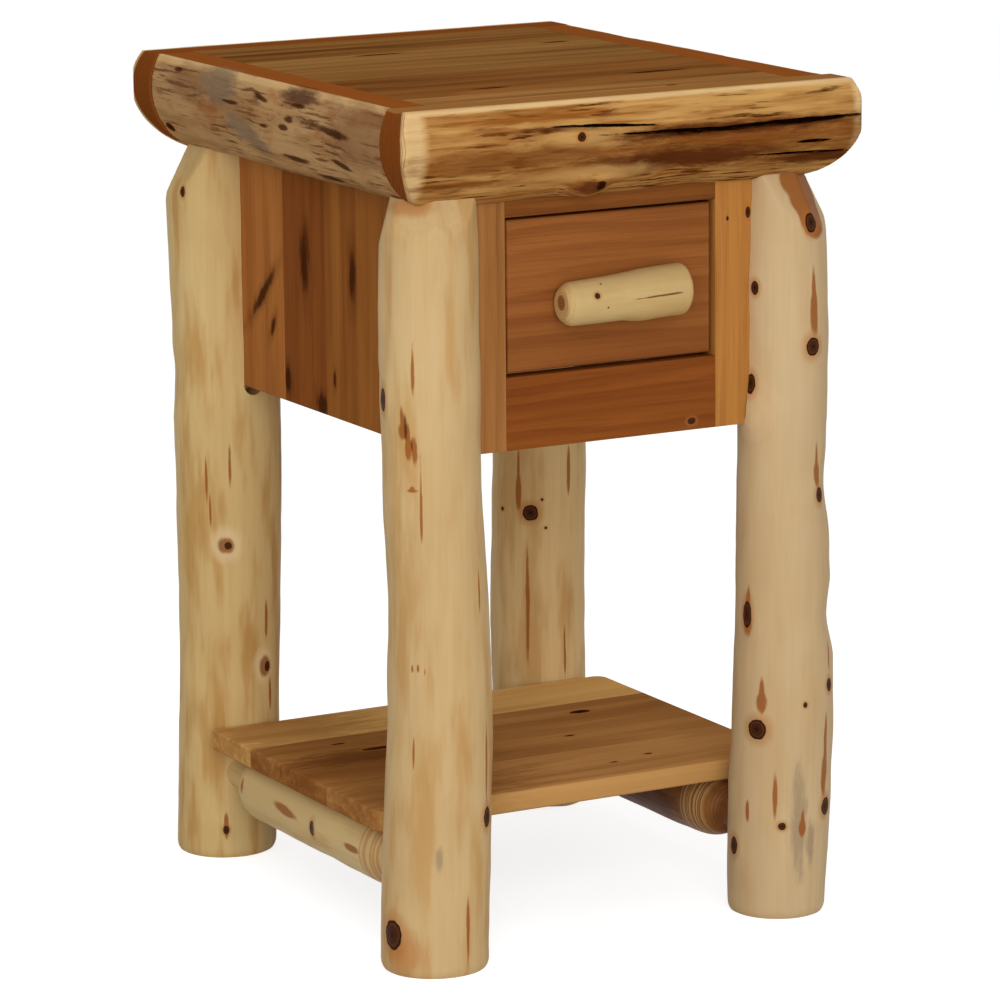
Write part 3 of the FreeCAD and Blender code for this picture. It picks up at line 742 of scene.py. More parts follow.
left_stains = [
    (linear(118, 76, 50), 0.55, 0.8, [
        mark(-224, -190, 735, 14, 55, 30), mark(-222, 150, 745, 14, 50, 12)]),
    (linear(132, 110, 86), 0.80, 0.6, [
        mark(-222, 92, 749, 16, 32, 17), mark(-221, 42, 711, 16, 32, 13, (tilt(18), 0, 0))]),
    (linear(76, 42, 32), 0.85, 0.7, [mark(-219, -68, 754, 12, 28, 7)]),
    (linear(70, 36, 20), 0.90, 0.5, [
        mark(-224, -128, 731.5, 8, 40, 3.2, (tilt(3), 0, 0)), mark(-225, -53, 733, 6, 8, 3),
        mark(-225, -41, 725, 6, 8, 2.6), mark(-223, 7, 747, 6, 14, 2.2, (tilt(8), 0, 0)),
        mark(-223, -69, 746, 6, 12, 2), mark(-225, -3, 722, 6, 9, 2),
        mark(-225, 65, 736, 6, 14, 1.6), mark(-220, 181, 753, 6, 7, 2),
        mark(-214, -46, 696, 8, 22, 3), mark(-217, -139, 703, 8, 16, 2.8, (tilt(8), 0, 0)),
        mark(-201, -93, 683, 8, 26, 3)]),
]
edging_marks = {
    "front": {
        "knots": [mark(-54, -275, 731, 4, 4, 4)], "stains": front_stains_and_shade,
        "clean": [(0, -198, -210), (0, 219, 228), (2, 756.5, 760)],
    },
    "back": {
        "knots": [mark(70, 275, 725, 7, 7, 7), mark(-110, 272, 705, 9, 8, 7)],
        "clean": [(0, -206, -214), (0, 206, 214), (2, 754, 758)],
    },
    "left": {
        "knots": [mark(-213, 215, 695, 5, 7, 5)], "stains": left_stains, "clean": [(2, 755, 758)],
    },
    "right": {
        "knots": [mark(224, -90, 735, 8, 8, 7), mark(222, 120, 715, 7, 9, 7)], "clean": [(2, 755, 758)],
    },
}
print("edging marks:", len(front_stains_and_shade), "stains in front,", len(left_stains), "on the left")

# %% Edging dressed
for side, log in half_logs.items():
    along_x = side in ("front", "back")
    sign = -1 if side in ("front", "left") else 1
    if along_x:
        origin = at(0, sign * (half_depth - log_radius), log_middle)
    else:
        origin = at(sign * (half_width - log_radius), 0, log_middle)
    wood = wood_material(
        "edging_" + side, log_wood, origin, ALONG_X if along_x else ALONG_Y,
        hewn_log if along_x else grey_log, gloss=0.0, **edging_marks[side],
    )
    hand_over(log, wood, "edge_log", "carcase", "top_edge_log_" + side)
print("edging dressed:", ", ".join(half_logs))

# %% [markdown]
# ## The legs
# Each leg is one peeled log with its own swell and lean. The top is trimmed with a drawknife: one broad
# facet to the outside corner and two smaller ones, so the half-logs sit in front of it. Two legs have one
# more facet. Grooves let in the boards of the case and run a little past them, with the round end that a
# cutter leaves.

# %% Leg shapes
leg_radius = 46
leg_top = 740
edging_low = 671.4
leg_places = {
    "front_left": (-177, -220), "front_right": (177, -220), "rear_left": (-177, 220), "rear_right": (177, 220),
}
leg_swell = {
    "front_left": [2.5, 2.3, 1.0, -1.0, -2.5, -1.5, -2.5, -4.0],
    "front_right": [-0.8, 1.0, 0.2, -2.7, -5.3, -4.5, -6.0, -9.0],
    "rear_left": [2.2, 2.3, 2.5, 4.0, 5.0, 3.5, 3.0, 1.0],
    "rear_right": [0.0, 1.0, 1.0, 0.3, 0.0, -1.0, -2.0, -3.0],
}
leg_lean_x = {
    "front_left": [-0.5, 3, 7, 8, 3.5, 2, 2.5, 2],
    "front_right": [-1, 2, 4, 3, 3, 3, 3, 3],
    "rear_left": [9.5, 14, 17, 18, 18, 16, 12, 10],
    "rear_right": [-2, -2, -3, -1, 0, 0, 0, 0],
}
leg_lean_y = {
    "front_left": [0, -1, -1, 0, 0, 0, 0, 0],
    "front_right": [0, -1, -4, -4, -2, -3, -2, -2],
    "rear_left": [1, 1.5, 1, 0, -1, -1, -1, -1],
    "rear_right": [0, 1, 1, 0, 0, 0, 0, 0],
}
bevel_start = {"front_left": 34, "front_right": 54, "rear_left": 70, "rear_right": 40}
bevel_angle = math.radians(24)
side_bevel_rise = 8
# Height at the foot, and how much the radius is worn there
foot_profile = [(-4, 5), (0, 2.2), (2.5, 0.6)]
foot_top, leg_steps = 6, 73
# Angle round the leg, height, distance from its middle and slope of each further facet
knife_facets = {"front_left": [(152, 638, 43.5, 15)], "rear_right": [(-115, 4, 44, -62)]}


def along_curve(values, share):
    """Value at a share of the way along a list, on a smooth curve through all its entries."""
    place = share * (len(values) - 1)
    index = min(int(place), len(values) - 2)
    part = place - index
    before = values[max(index - 1, 0)]
    start, end = values[index], values[index + 1]
    after = values[min(index + 2, len(values) - 1)]
    bend = 2 * before - 5 * start + 4 * end - after
    return start + 0.5 * part * (end - before + part * (bend + part * (3 * (start - end) + after - before)))


print("legs:", ", ".join(leg_places))


# %% Points on a leg
def leg_ring(corner, height_up):
    """Centre and radius of a leg at a height, in millimetres."""
    share = height_up / leg_top
    x = leg_places[corner][0] + along_curve(leg_lean_x[corner], share)
    y = leg_places[corner][1] + along_curve(leg_lean_y[corner], share)
    return x, y, leg_radius + along_curve(leg_swell[corner], share)


def way_out(angle):
    """The level direction at an angle round a leg."""
    return Vector((math.cos(math.radians(angle)), math.sin(math.radians(angle)), 0))


def on_leg(corner, height_up, angle):
    """A point on the surface of a leg, and the way out of it."""
    x, y, radius = leg_ring(corner, height_up)
    outward = way_out(angle)
    return at(x, y, height_up) + outward * radius * MM, outward


def leg_signs(corner):
    """On which side of the middle a leg stands, along x and along y."""
    x, y = leg_places[corner]
    return math.copysign(1, x), math.copysign(1, y)


print("foot of the first leg:", [round(v, 1) for v in leg_ring("front_left", 0)])


# %% Legs grown and trimmed
def shape_leg(corner):
    sign_x, sign_y = leg_signs(corner)
    rings = []
    for height_up, worn in foot_profile:
        x, y, radius = leg_ring(corner, 0)
        rings.append((at(x, y, height_up), (radius - worn) * MM))
    for step in range(leg_steps + 1):
        height_up = foot_top + (leg_top - foot_top) * step / leg_steps
        x, y, radius = leg_ring(corner, height_up)
        rings.append((at(x, y, height_up), radius * MM))
    leg = grow_log("peeled_leg_" + corner, rings, UPRIGHT)
    undulate(leg, "peeled_" + corner, 60, 2.6, 0.8)
    undulate(leg, "knifed_" + corner, 22, 0.9)
    start = edging_low - bevel_start[corner]
    sides = ((sign_x, sign_y), 0), ((sign_x, 0), side_bevel_rise), ((0, sign_y), side_bevel_rise)
    for facing, rise in sides:
        out = Vector((facing[0], facing[1], 0)).normalized()
        point = at(leg_places[corner][0], leg_places[corner][1], start + rise) + out * leg_radius * MM
        normal = out * math.cos(bevel_angle) + Vector((0, 0, math.sin(bevel_angle)))
        slice_off(leg, point, normal)
    for angle, height_up, distance, slope in knife_facets.get(corner, ()):
        x, y, _ = leg_ring(corner, height_up)
        out = way_out(angle)
        normal = out * math.cos(math.radians(slope)) + Vector((0, 0, math.sin(math.radians(slope))))
        slice_off(leg, at(x, y, height_up) + out * distance * MM, normal)
    soften(leg, 2.3, 5)
    return leg


legs = {corner: shape_leg(corner) for corner in leg_places}
for corner, leg in legs.items():
    print(leg.name, len(leg.data.polygons), "faces")

# %% [markdown]
# ### Grooves and copes
# The grooves are cut with a bar whose lower end is rounded over by a bevel. The head of the leg is
# sawn back to stand behind the edging, and the half-logs themselves then scribe their hollow into it.

# %% Groove tool
nearly_half = 0.499


def groove_bar(low, high, across):
    """Bar with a half-round lower end, for a stopped groove; its thickness lies along one axis."""
    bar = add_block((low + high) / 2, high - low)
    edit(bar, "EDGE")
    pick(bar, "edges", lambda edge: all(
        abs(vertex.co.z - low.z) < NEAR for vertex in edge.verts
    ) and abs(edge.verts[0].co[across] - edge.verts[1].co[across]) < NEAR)
    bpy.ops.mesh.bevel(offset=(high - low)[across] * nearly_half, segments=8)
    bpy.ops.object.mode_set(mode="OBJECT")
    return bar


def span(first, second):
    """Lowest and highest corner of the box between two points."""
    return Vector(map(min, first, second)), Vector(map(max, first, second))


print("groove tool ready")

# %% Leg joints
groove_low, frame_groove_low, groove_high = 445, 454.5, 800
side_cheeks, side_groove_end = (144.7, 164.3), 196.3
face_cheeks, face_groove_end = (211.4, 231), 153.3
head_x, head_y, shoulder = 180.6, 230.6, 683.4
beyond, above = 400, 900
for corner, leg in legs.items():
    sign_x, sign_y = leg_signs(corner)
    side_low, side_high = span(
        at(sign_x * side_cheeks[0], 0, groove_low),
        at(sign_x * side_cheeks[1], sign_y * side_groove_end, groove_high))
    side_groove = groove_bar(side_low, side_high, 0)
    cut_with(leg, side_groove)
    face_low, face_high = span(
        at(0, sign_y * face_cheeks[0], groove_low if sign_y > 0 else frame_groove_low),
        at(sign_x * face_groove_end, sign_y * face_cheeks[1], groove_high))
    face_groove = groove_bar(face_low, face_high, 1)
    cut_with(leg, face_groove)
    discard(side_groove, face_groove)
    behind = [
        span(at(sign_x * head_x, -beyond, shoulder), at(sign_x * beyond, beyond, above)),
        span(at(-beyond, sign_y * head_y, shoulder), at(beyond, sign_y * beyond, above)),
    ]
    for low, high in behind:
        waste = add_block((low + high) / 2, high - low)
        cut_with(leg, waste)
        discard(waste)
    cut_with(leg, half_logs["front" if sign_y < 0 else "back"])
    cut_with(leg, half_logs["left" if sign_x < 0 else "right"])
    print(leg.name, "stands", [round(v * 1000) for v in leg.dimensions], "mm")

# %% [markdown]
# ### Knots and wood of the legs
# Every knot is listed by its height, its angle round the leg and its half-width and half-height. The
# same list lifts a soft bump in the mesh and paints the knot, so shape and colour always agree.

# %% Leg marks
leg_knots = {
    "front_left": [
        (510, 178, 5, 10), (37, -166, 10, 13), (139, -54, 6, 9),
        (600, 60, 8, 10), (330, 40, 8, 9), (180, 100, 6, 7), (540, 130, 5, 7),
    ],
    "front_right": [
        (636, -82, 6, 9), (525, -81, 7, 8), (578, -158, 4, 6), (491, -164, 5, 9), (389, -66, 5, 7),
        (281, -168, 5, 12), (177, -151, 9, 9), (200, -96, 2, 2.5), (214, -59, 4, 6), (101, -60, 6, 8),
        (88, -118, 3.5, 3.5), (64, 180, 5, 8), (420, 20, 8, 10), (230, 70, 7, 8), (560, 95, 6, 8),
        (120, 130, 6, 7),
    ],
    "rear_left": [
        (637, -156, 3, 5), (303, -117, 3.5, 3.5), (182, -68, 3.5, 5), (28, -117, 3, 4),
        (450, 150, 8, 10), (250, 100, 7, 8), (560, 60, 6, 8), (120, 30, 7, 9),
    ],
    "rear_right": [
        (297, -129, 7.5, 7.5), (298, -169, 2, 2), (310, -115, 1.5, 1.5), (282, -110, 1.5, 1.5),
        (600, 30, 8, 10), (420, 80, 7, 9), (220, 0, 8, 9), (500, 140, 6, 8),
    ],
}
# Flames by foot, tip, angle and half-width
leg_flames = {
    "front_left": [
        (478, 505, -151, 4), (462, 492, -144, 3.5), (454, 480, -137, 2.8), (432, 438, -141, 4.5),
        (520, 565, -137, 1.6), (345, 455, -132, 1.3), (190, 232, -147, 1.3), (150, 220, -56, 1.6),
        (320, 370, -62, 1.5), (5, 66, -80, 1.8), (273, 280, -149, 1.2), (274, 281, -142, 1.2),
        (271, 279, -134, 0.9),
    ],
    "front_right": [
        (194, 224, -147, 5), (112, 182, -64, 4.5), (398, 437, -70, 4), (264, 306, -167, 5),
        (95, 136, -127, 2), (78, 104, -94, 3.5), (90, 108, -160, 2), (228, 283, -56, 1.5),
        (534, 605, -78, 4),
    ],
    "rear_left": [
        (345, 385, -140, 1.2), (318, 350, -136, 1.0), (358, 400, -114, 1.4), (140, 172, -62, 2),
        (205, 245, -70, 2), (20, 44, -117, 2),
    ],
    "rear_right": [(136, 260, -131, 2), (130, 186, -85, 1.5), (302, 360, -145, 3), (310, 360, -80, 2)],
}
# Grey stains, listed as the knots are
leg_greys = {
    "front_left": [(108, -115, 3, 9)],
    "front_right": [(91, -98, 6, 45), (68, -82, 4, 18)],
    "rear_left": [(120, 60, 9, 40)],
    "rear_right": [(420, -60, 9, 40)],
}
# Hollows by height, angle, reach and depth; a depth below 0 is a swelling
leg_dents = {
    "rear_left": [(455, 151, 40, 4)],
    "front_right": [(275, -29, 40, 5), (393, -29, 40, 3.5), (462, -160, 36, -6)],
}
print("knots on the legs:", sum(len(listed) for listed in leg_knots.values()))

# %% Leg wood
peeled_log = {
    "Sapwood": linear(200, 171, 129), "Warm": linear(180, 132, 70), "Heartwood": linear(162, 102, 52),
    "Dash": linear(92, 52, 22), "Heart Radius": 27 * MM, "Warmth": 0.8, "Streaks": 0.12, "Dashes": 0.0,
}
leg_wood = {
    "front_left": {"Sapwood": linear(200, 169, 120), "Heart Radius": 20 * MM, "Warmth": 0.95},
    "front_right": {"Heart Radius": 10 * MM, "Warmth": 0.3},
    # Rear legs: sapwood set paler, as painted light that makes up for the shade of the case on them.
    "rear_left": {"Sapwood": linear(208, 177, 120), "Heart Radius": 20 * MM, "Warmth": 1.2},
    "rear_right": {"Sapwood": linear(216, 184, 130), "Heart Radius": 24 * MM, "Warmth": 0.9},
}
grey_tint, flame_tint = linear(146, 126, 100), linear(150, 84, 34)
heart_height = 640


def leg_marks(corner, listed):
    """Marks on a leg, each given by its height, angle, half-width and half-height."""
    marks = []
    for height_up, angle, half_width, half_height in listed:
        point, _ = on_leg(corner, height_up, angle)
        marks.append((point, at(half_width, half_width, half_height), UPRIGHT))
    return marks


def flame_marks(corner):
    """Resin flames: wide at the foot and drawn out to a point. A slim one is a single mark."""
    parts = []
    for low, high, angle, half_width in leg_flames[corner]:
        reach = high - low
        if half_width < 3:
            parts.append((low + 0.5 * reach, angle, half_width, 0.5 * reach))
        else:
            parts.append((low + 0.28 * reach, angle, half_width, 0.30 * reach))
            parts.append((low + 0.55 * reach, angle, 0.55 * half_width, 0.45 * reach))
    return leg_marks(corner, parts)


leg_stains_and_shade = {
    "front_left": [
        # A warm brown patch on the leg's head just under the front log: partly the wood's tone, partly painted
        # shade from the log.
        (linear(172, 112, 60), 0.7, 0.8, [mark(-202, -234, 677, 20, 18, 6)], 1.0),
        (linear(92, 46, 19), 0.9, 0.4, leg_marks("front_left", [(487, -147, 1.6, 11), (470, -140, 1.2, 8)])),
        (linear(178, 112, 50), 0.6, 0.9, [mark(-213, -240, 20, 14, 16, 16)]),
    ],
    "front_right": [
        (linear(148, 88, 38), 0.95, 0.12, [
            mark(186, -242, 672, 23, 25, 16), mark(188, -247, 656, 19, 25, 17),
            mark(190, -252, 642, 16, 25, 22)], 0.25),
    ],
    "rear_left": [
        (linear(222, 194, 148), 0.7, 0.5, [
            mark(-183, 177, 304, 14, 14, 15), mark(-146, 175, 184, 11, 12, 15)], 1.0),
        (linear(130, 84, 44), 0.9, 0.4, [
            mark(-183, 177, 303, 6.5, 8, 7), mark(-146, 175, 183, 6, 8, 9)], 1.0),
    ],
}
print("legs with stains of their own:", ", ".join(leg_stains_and_shade))

# %% Legs finished
for corner, leg in legs.items():
    for height_up, angle, _, half_height in leg_knots[corner]:
        point, outward = on_leg(corner, height_up, angle)
        swell(leg, point, outward, 2.2 * half_height + 8, 0.12 * half_height + 0.2)
    for height_up, angle, size, depth in leg_dents.get(corner, ()):
        point, outward = on_leg(corner, height_up, angle)
        swell(leg, point, outward, size, -depth)
    slice_off(leg, at(0, 0, 0), (0, 0, -1))
    x, y, _ = leg_ring(corner, heart_height)
    wood = wood_material(
        "peeled_" + corner, log_wood, at(x, y, 0), UPRIGHT, {**peeled_log, **leg_wood[corner]},
        knots=leg_marks(corner, leg_knots[corner]),
        stains=[
            (grey_tint, 0.65, 0.7, leg_marks(corner, leg_greys[corner])),
            (flame_tint, 0.9, 0.35, flame_marks(corner), 1.4),
        ] + leg_stains_and_shade.get(corner, []),
        bump=0.15, gloss=0.04,
    )
    hand_over(leg, wood, "peeled_log", "carcase", "leg_" + corner)
print("legs dressed")

# %% [markdown]
# ## The stretchers under the shelf
# Two short logs run front to back. A tenon cutter, which works like a pencil sharpener, leaves a round
# tenon and a rounded shoulder at each end, so the log is grown along that profile. On the front shoulder
# the cutter lays the growth rings bare. From below, a drilled pocket takes each shelf screw.

# %% Stretcher shape
stretcher_x = {"left": -170, "right": 161}
stretcher_z, stretcher_top = 82, 111
tenon_radius, tip = 16, 212
front_neck, front_shoulder, front_radius = 168, 42, 32
rear_neck, rear_shoulder, rear_radius = 135, 24, 33
shoulder_steps, shaft_steps = 8, 30


def stretcher_rings(x):
    """Rings of a stretcher from its front tip to its rear tip."""
    profile = [(-tip, tenon_radius)]
    for step in range(shoulder_steps + 1):
        turn = math.radians(90 * step / shoulder_steps)
        rise = (front_radius - tenon_radius) * math.sin(turn)
        profile.append((-front_neck + front_shoulder * (1 - math.cos(turn)), tenon_radius + rise))
    start, end = front_shoulder - front_neck, rear_neck - rear_shoulder
    for step in range(1, shaft_steps):
        share = step / shaft_steps
        profile.append((start + (end - start) * share, front_radius + (rear_radius - front_radius) * share))
    for step in range(shoulder_steps, -1, -1):
        turn = math.radians(90 * step / shoulder_steps)
        rise = (rear_radius - tenon_radius) * math.sin(turn)
        profile.append((rear_neck - rear_shoulder * (1 - math.cos(turn)), tenon_radius + rise))
    profile.append((tip, tenon_radius))
    return [(at(x, y, stretcher_z), radius * MM) for y, radius in profile]


print("stretcher profile has", len(stretcher_rings(0)), "rings")

# %% Stretcher wood
stretcher_wood = {
    "left": {"Sapwood": linear(204, 174, 118)},
    # The right stretcher's darker sapwood is partly darker wood, partly painted shade from the shelf above it.
    "right": {"Sapwood": linear(126, 79, 40), "Warm": linear(88, 49, 22)},
}
stretcher_heart = {"Heart Radius": 8 * MM, "Heartwood": linear(126, 72, 34)}
stretcher_knots = {"left": [mark(-202, -32, 82, 6, 4, 7)], "right": [mark(193, 40, 88, 6, 7, 6)]}
stretcher_flames_and_shade = {
    "left": (linear(146, 82, 36), [
        mark(-202, 22, 86, 8, 20, 4, (tilt(6), 0, 0)), mark(-202, -110, 82, 8, 13, 3),
        mark(-202, 114, 88, 8, 3, 6)]),
    # Right stretcher: not a resin flame but a dark zone on its inner lower side, partly darker wood, partly
    # painted shade from the shelf.
    "right": (linear(84, 47, 23), [mark(132, -40, 72, 18, 76, 20), mark(190, -60, 76, 8, 14, 5)]),
}
# Tone of the bare shoulder, tone of its rings, and the rings' cover, pitch, thinness and raggedness
shoulder_rings = {
    "left": (linear(204, 172, 118), linear(178, 114, 60), 0.55, 5.6, 1.9, 0.9),
    "right": (linear(196, 152, 98), linear(100, 58, 28), 0.80, 3.0, 0.8, 0.25),
}
disc_radius = 44


def cutter_rings(x, pitch, thinness):
    """Growth rings that the tenon cutter lays bare on the front shoulder, as thin upright discs."""
    count = int(0.8 * front_shoulder / pitch)
    discs = []
    for step in range(count):
        uneven = pitch * (step + 0.3 * math.sin(2.4 * step))
        y = front_shoulder - front_neck - uneven
        discs.append(mark(x, y, stretcher_z, disc_radius, thinness, disc_radius))
    return discs


for side, (_, _, _, pitch, thinness, _) in shoulder_rings.items():
    print("rings on the", side, "shoulder:", len(cutter_rings(0, pitch, thinness)))

# %% Stretchers
screw_places = [-120.5, -14, 64, 128]
pocket_radius, pocket_top, pocket_length = 4.8, 86.2, 60
for side, x in stretcher_x.items():
    log = grow_log("stretcher_log_" + side, stretcher_rings(x), ALONG_Y, 72)
    undulate(log, "stretcher_" + side, 40, 1.8)
    slice_off(log, at(0, 0, stretcher_top), (0, 0, 1))
    soften(log, 1.8, 3)
    for y in screw_places:
        deselect_all()
        bpy.ops.mesh.primitive_cylinder_add(
            vertices=32, radius=pocket_radius * MM, depth=pocket_length * MM,
            location=at(x, y, pocket_top - pocket_length / 2))
        bit = bpy.context.object
        cut_with(log, bit)
        discard(bit)
    # On the right stretcher the flame marks are partly painted shade from the shelf.
    tint, flames = stretcher_flames_and_shade[side]
    pale, line, cover, pitch, thinness, ragged = shoulder_rings[side]
    wood = wood_material(
        "stretcher_" + side, log_wood, at(x, 0, stretcher_z), ALONG_Y,
        {**peeled_log, **stretcher_heart, **stretcher_wood[side]}, knots=stretcher_knots[side],
        stains=[
            (tint, 0.9, 0.35, flames, 1.2),
            (pale, 0.8, 0.25, [mark(x, -142, stretcher_z, 60, 17, 60)], 0.2),
            (line, cover, 0.4, cutter_rings(x, pitch, thinness), ragged),
        ],
    )
    hand_over(log, wood, "peeled_log", "carcase", "stretcher_" + side)
    print(log.name, len(log.data.polygons), "faces")

# %% [markdown]
# ## Boards
# Sawn boards start as a cube at their size, and their edges are broken with a bevel, because a sharp
# edge never survives sanding and lacquer. Each board gets grain from its own tree: another place for
# the middle line, another pair of tones.

# %% Board tools
def saw_board(name, low, high, ease):
    """A board between two corners, with all its edges eased."""
    board = add_block((low + high) / 2, high - low)
    board.name = name
    edit(board, "EDGE")
    bpy.ops.mesh.select_all(action="SELECT")
    bpy.ops.mesh.bevel(offset=ease * MM, segments=3)
    bpy.ops.object.mode_set(mode="OBJECT")
    return board


def board_wood(
        name, turn, middle, seed, pale, dark, pitch=14.0, figure=0.3, knots=(), stains=(), gloss=0.05):
    """Grain for one board. The seed moves the tree's middle line to another place beside the board."""
    side = (seed * 0.618) % 1.0
    lift = 0.06 + 0.10 * ((seed * 0.414) % 1.0)
    away = Vector((lift, (side - 0.5) * 0.16, seed * 0.37))
    origin = middle + away
    if turn == ALONG_X:
        origin = middle + Vector((away.z, away.y, -lift))
    elif turn == ALONG_Y:
        origin = middle + Vector((away.y, away.z, -lift))
    values = {"Pale": pale, "Dark": dark, "Ring Pitch": pitch * MM, "Figure": figure}
    return wood_material(
        name, board_grain, origin, turn, values, knots=knots, stains=stains, bump=0.22, gloss=gloss)


print("board tools ready")

# %% [markdown]
# ## The boards of the top
# Five boards run from side to side inside the edging. Their tones differ, as they do in the photograph:
# two narrow dark ones at the back, a wide pale one, a wide brown one and a narrow pale one in front.

# %% Top boards
top_edges = [-231, -187, -41, 123, 178, 231]
top_under, top_ease, top_seed = 740, 0.5, 1.3
top_tones = [
    (linear(172, 122, 68), linear(120, 74, 34)),
    (linear(146, 94, 46), linear(100, 57, 24)),
    (linear(160, 114, 62), linear(118, 76, 36)),
    (linear(142, 94, 46), linear(98, 58, 25)),
    (linear(150, 102, 52), linear(104, 63, 28)),
]
top_slits = {
    index: [(linear(62, 30, 13), 0.95, 0.35, marks)] for index, marks in {
        0: [mark(65, -224, 762, 6, 2.5, 4)],
        1: [mark(-78, -156, 762, 17, 3.5, 5), mark(105, -132, 762, 28, 4.5, 6)],
        2: [mark(-45, 112, 762, 26, 3.5, 6), mark(136, 110, 762, 14, 3.5, 5)],
    }.items()
}
for index, (front, rear) in enumerate(zip(top_edges, top_edges[1:])):
    node = "top_board_%d" % (index + 1)
    low, high = at(-sawn_x, front, top_under), at(sawn_x, rear, height)
    board = saw_board("top_plank_%d" % (index + 1), low, high, top_ease)
    pale, dark = top_tones[index]
    wood = board_wood(
        node, ALONG_X, (low + high) / 2, index + top_seed, pale, dark,
        stains=top_slits.get(index, ()), gloss=0.0,
    )
    hand_over(board, wood, "top_board", "carcase", node)
print("top has", len(top_tones), "boards")

# %% [markdown]
# ## The shelf
# Four boards with eased edges rest on the stretchers. The outer corners are rounded in plan, so the
# upright corner edges are bevelled first, and the small easing of the outer edges follows.

# %% Shelf tones and marks
# The shelf tones are set paler than the wood, as painted light that makes up for the shade under the case; the
# rear board most.
shelf_tones = [
    (linear(206, 148, 86), linear(162, 106, 56)),
    (linear(194, 136, 76), linear(148, 94, 48)),
    (linear(200, 144, 82), linear(154, 100, 53)),
    (linear(238, 188, 114), linear(206, 150, 84)),
]
shelf_knots = {
    0: [mark(103, -115, 130, 4, 1.8, 5), mark(61, -125, 130, 3.5, 1.5, 4)],
    1: [mark(73, -21, 130, 5, 2, 5), mark(-102, 30, 130, 16, 4, 6)],
    2: [mark(126, 53, 130, 10, 5, 6), mark(-127, 62, 130, 7, 2.2, 5)],
}
shelf_stains_light_and_shade = {
    # Painted shade: each board's first zone, a broad soft brown over its left part.
    0: [(linear(116, 68, 28), 0.6, 0.8, [mark(-140, -120, 130, 85, 60, 30)]),
        # Painted light: a paler band along the front edge of the front board.
        (linear(196, 152, 92), 0.6, 0.5, [mark(0, -171, 120, 400, 4, 14)], 0.4)],
    1: [(linear(116, 68, 28), 0.55, 0.8, [mark(-140, -14, 130, 90, 60, 30)]),
        (linear(94, 52, 21), 0.6, 0.8, [mark(-120, 14, 130, 60, 22, 30)])],
    2: [(linear(116, 68, 28), 0.6, 0.8, [mark(-140, 64, 130, 85, 30, 30)])],
    3: [(linear(128, 78, 34), 0.55, 0.8, [mark(-150, 128, 130, 75, 45, 30)])],
}
shelf_ease, shelf_seed = 2.6, 7.6
round_corner, rear_left_corner = 12, 3
print("shelf marks:", sum(map(len, shelf_knots.values())), "knots")

# %% Shelf boards
for index, (pale, dark) in enumerate(shelf_tones):
    node = "shelf_board_%d" % (index + 1)
    low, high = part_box(node)
    board = add_block((low + high) / 2, high - low)
    board.name = "shelf_plank_%d" % (index + 1)
    outer = {0: low.y, 3: high.y}.get(index)
    corners = ((low.x, round_corner if index == 0 else rear_left_corner), (high.x, round_corner))
    for x, corner_plan in corners if outer is not None else ():
        edit(board, "EDGE")
        pick(board, "edges", lambda edge: is_upright(edge)
             and abs(edge.verts[0].co.y - outer) < NEAR and abs(edge.verts[0].co.x - x) < NEAR)
        bpy.ops.mesh.bevel(offset=corner_plan * MM, segments=8)
        bpy.ops.object.mode_set(mode="OBJECT")
    edit(board, "EDGE")
    pick(board, "edges", lambda edge: not is_upright(edge) and (
        outer is not None and max(abs(v.co.y - outer) for v in edge.verts) < (round_corner + 1) * MM
        or all(v.co.x < low.x + NEAR for v in edge.verts) or all(v.co.x > high.x - NEAR for v in edge.verts)))
    bpy.ops.mesh.bevel(offset=shelf_ease * MM, segments=4)
    bpy.ops.object.mode_set(mode="OBJECT")
    wood = board_wood(
        "shelf_" + str(index + 1), ALONG_X, (low + high) / 2, index + shelf_seed, pale, dark,
        knots=shelf_knots.get(index, ()), stains=shelf_stains_light_and_shade.get(index, ()), gloss=0.0,
    )
    hand_over(board, wood, "shelf_board", "carcase", node)
print("shelf has", len(shelf_tones), "boards")

# %% [markdown]
# ## The case: sides, back and face frame
# The sides and back are upright boards, the face frame has two stiles and two rails. The rails butt
# against the stiles in front, and their tenons are out of sight, so the boards end at the joint lines.

# %% Side tones and marks
side_tones = [
    (linear(168, 105, 50), linear(128, 73, 31)),
    (linear(166, 104, 49), linear(126, 72, 31)),
    (linear(152, 88, 42), linear(114, 62, 26)),
    (linear(190, 123, 64), linear(148, 88, 41)),
]
side_marks = {
    "left": {
        1: [mark(-164, -55, 590, 5, 5, 17), mark(-164, -17, 490, 3, 2, 6)],
        2: [mark(-164, 40, 588, 5, 7, 24), mark(-164, 77, 476, 5, 5, 9), mark(-164, 9, 463, 5, 9, 8)],
        3: [mark(-164, 128, 547, 5, 4, 26, (tilt(45), 0, 0)), mark(-164, 107, 520, 4, 3, 9, (tilt(25), 0, 0))],
    },
    "right": {
        0: [mark(164, -110, 600, 5, 6, 14)],
        2: [mark(164, 40, 520, 5, 6, 11)],
        3: [mark(164, 150, 630, 5, 5, 9)],
    },
}
side_seeds = {"left": 12.4, "right": 17.9}
back_tones, back_seed = side_tones[:3], 23.7
panel_ease = 0.7


def side_stains(marks):
    """Each knot of a side board: a soft brown halo under a dark middle."""
    halos = [(place, 1.6 * size, turn) for place, size, turn in marks]
    return [(linear(96, 49, 19), 0.45, 1.0, halos), (linear(60, 30, 14), 0.85, 0.6, marks)]


print("side boards with knots:", sum(map(len, side_marks.values())))

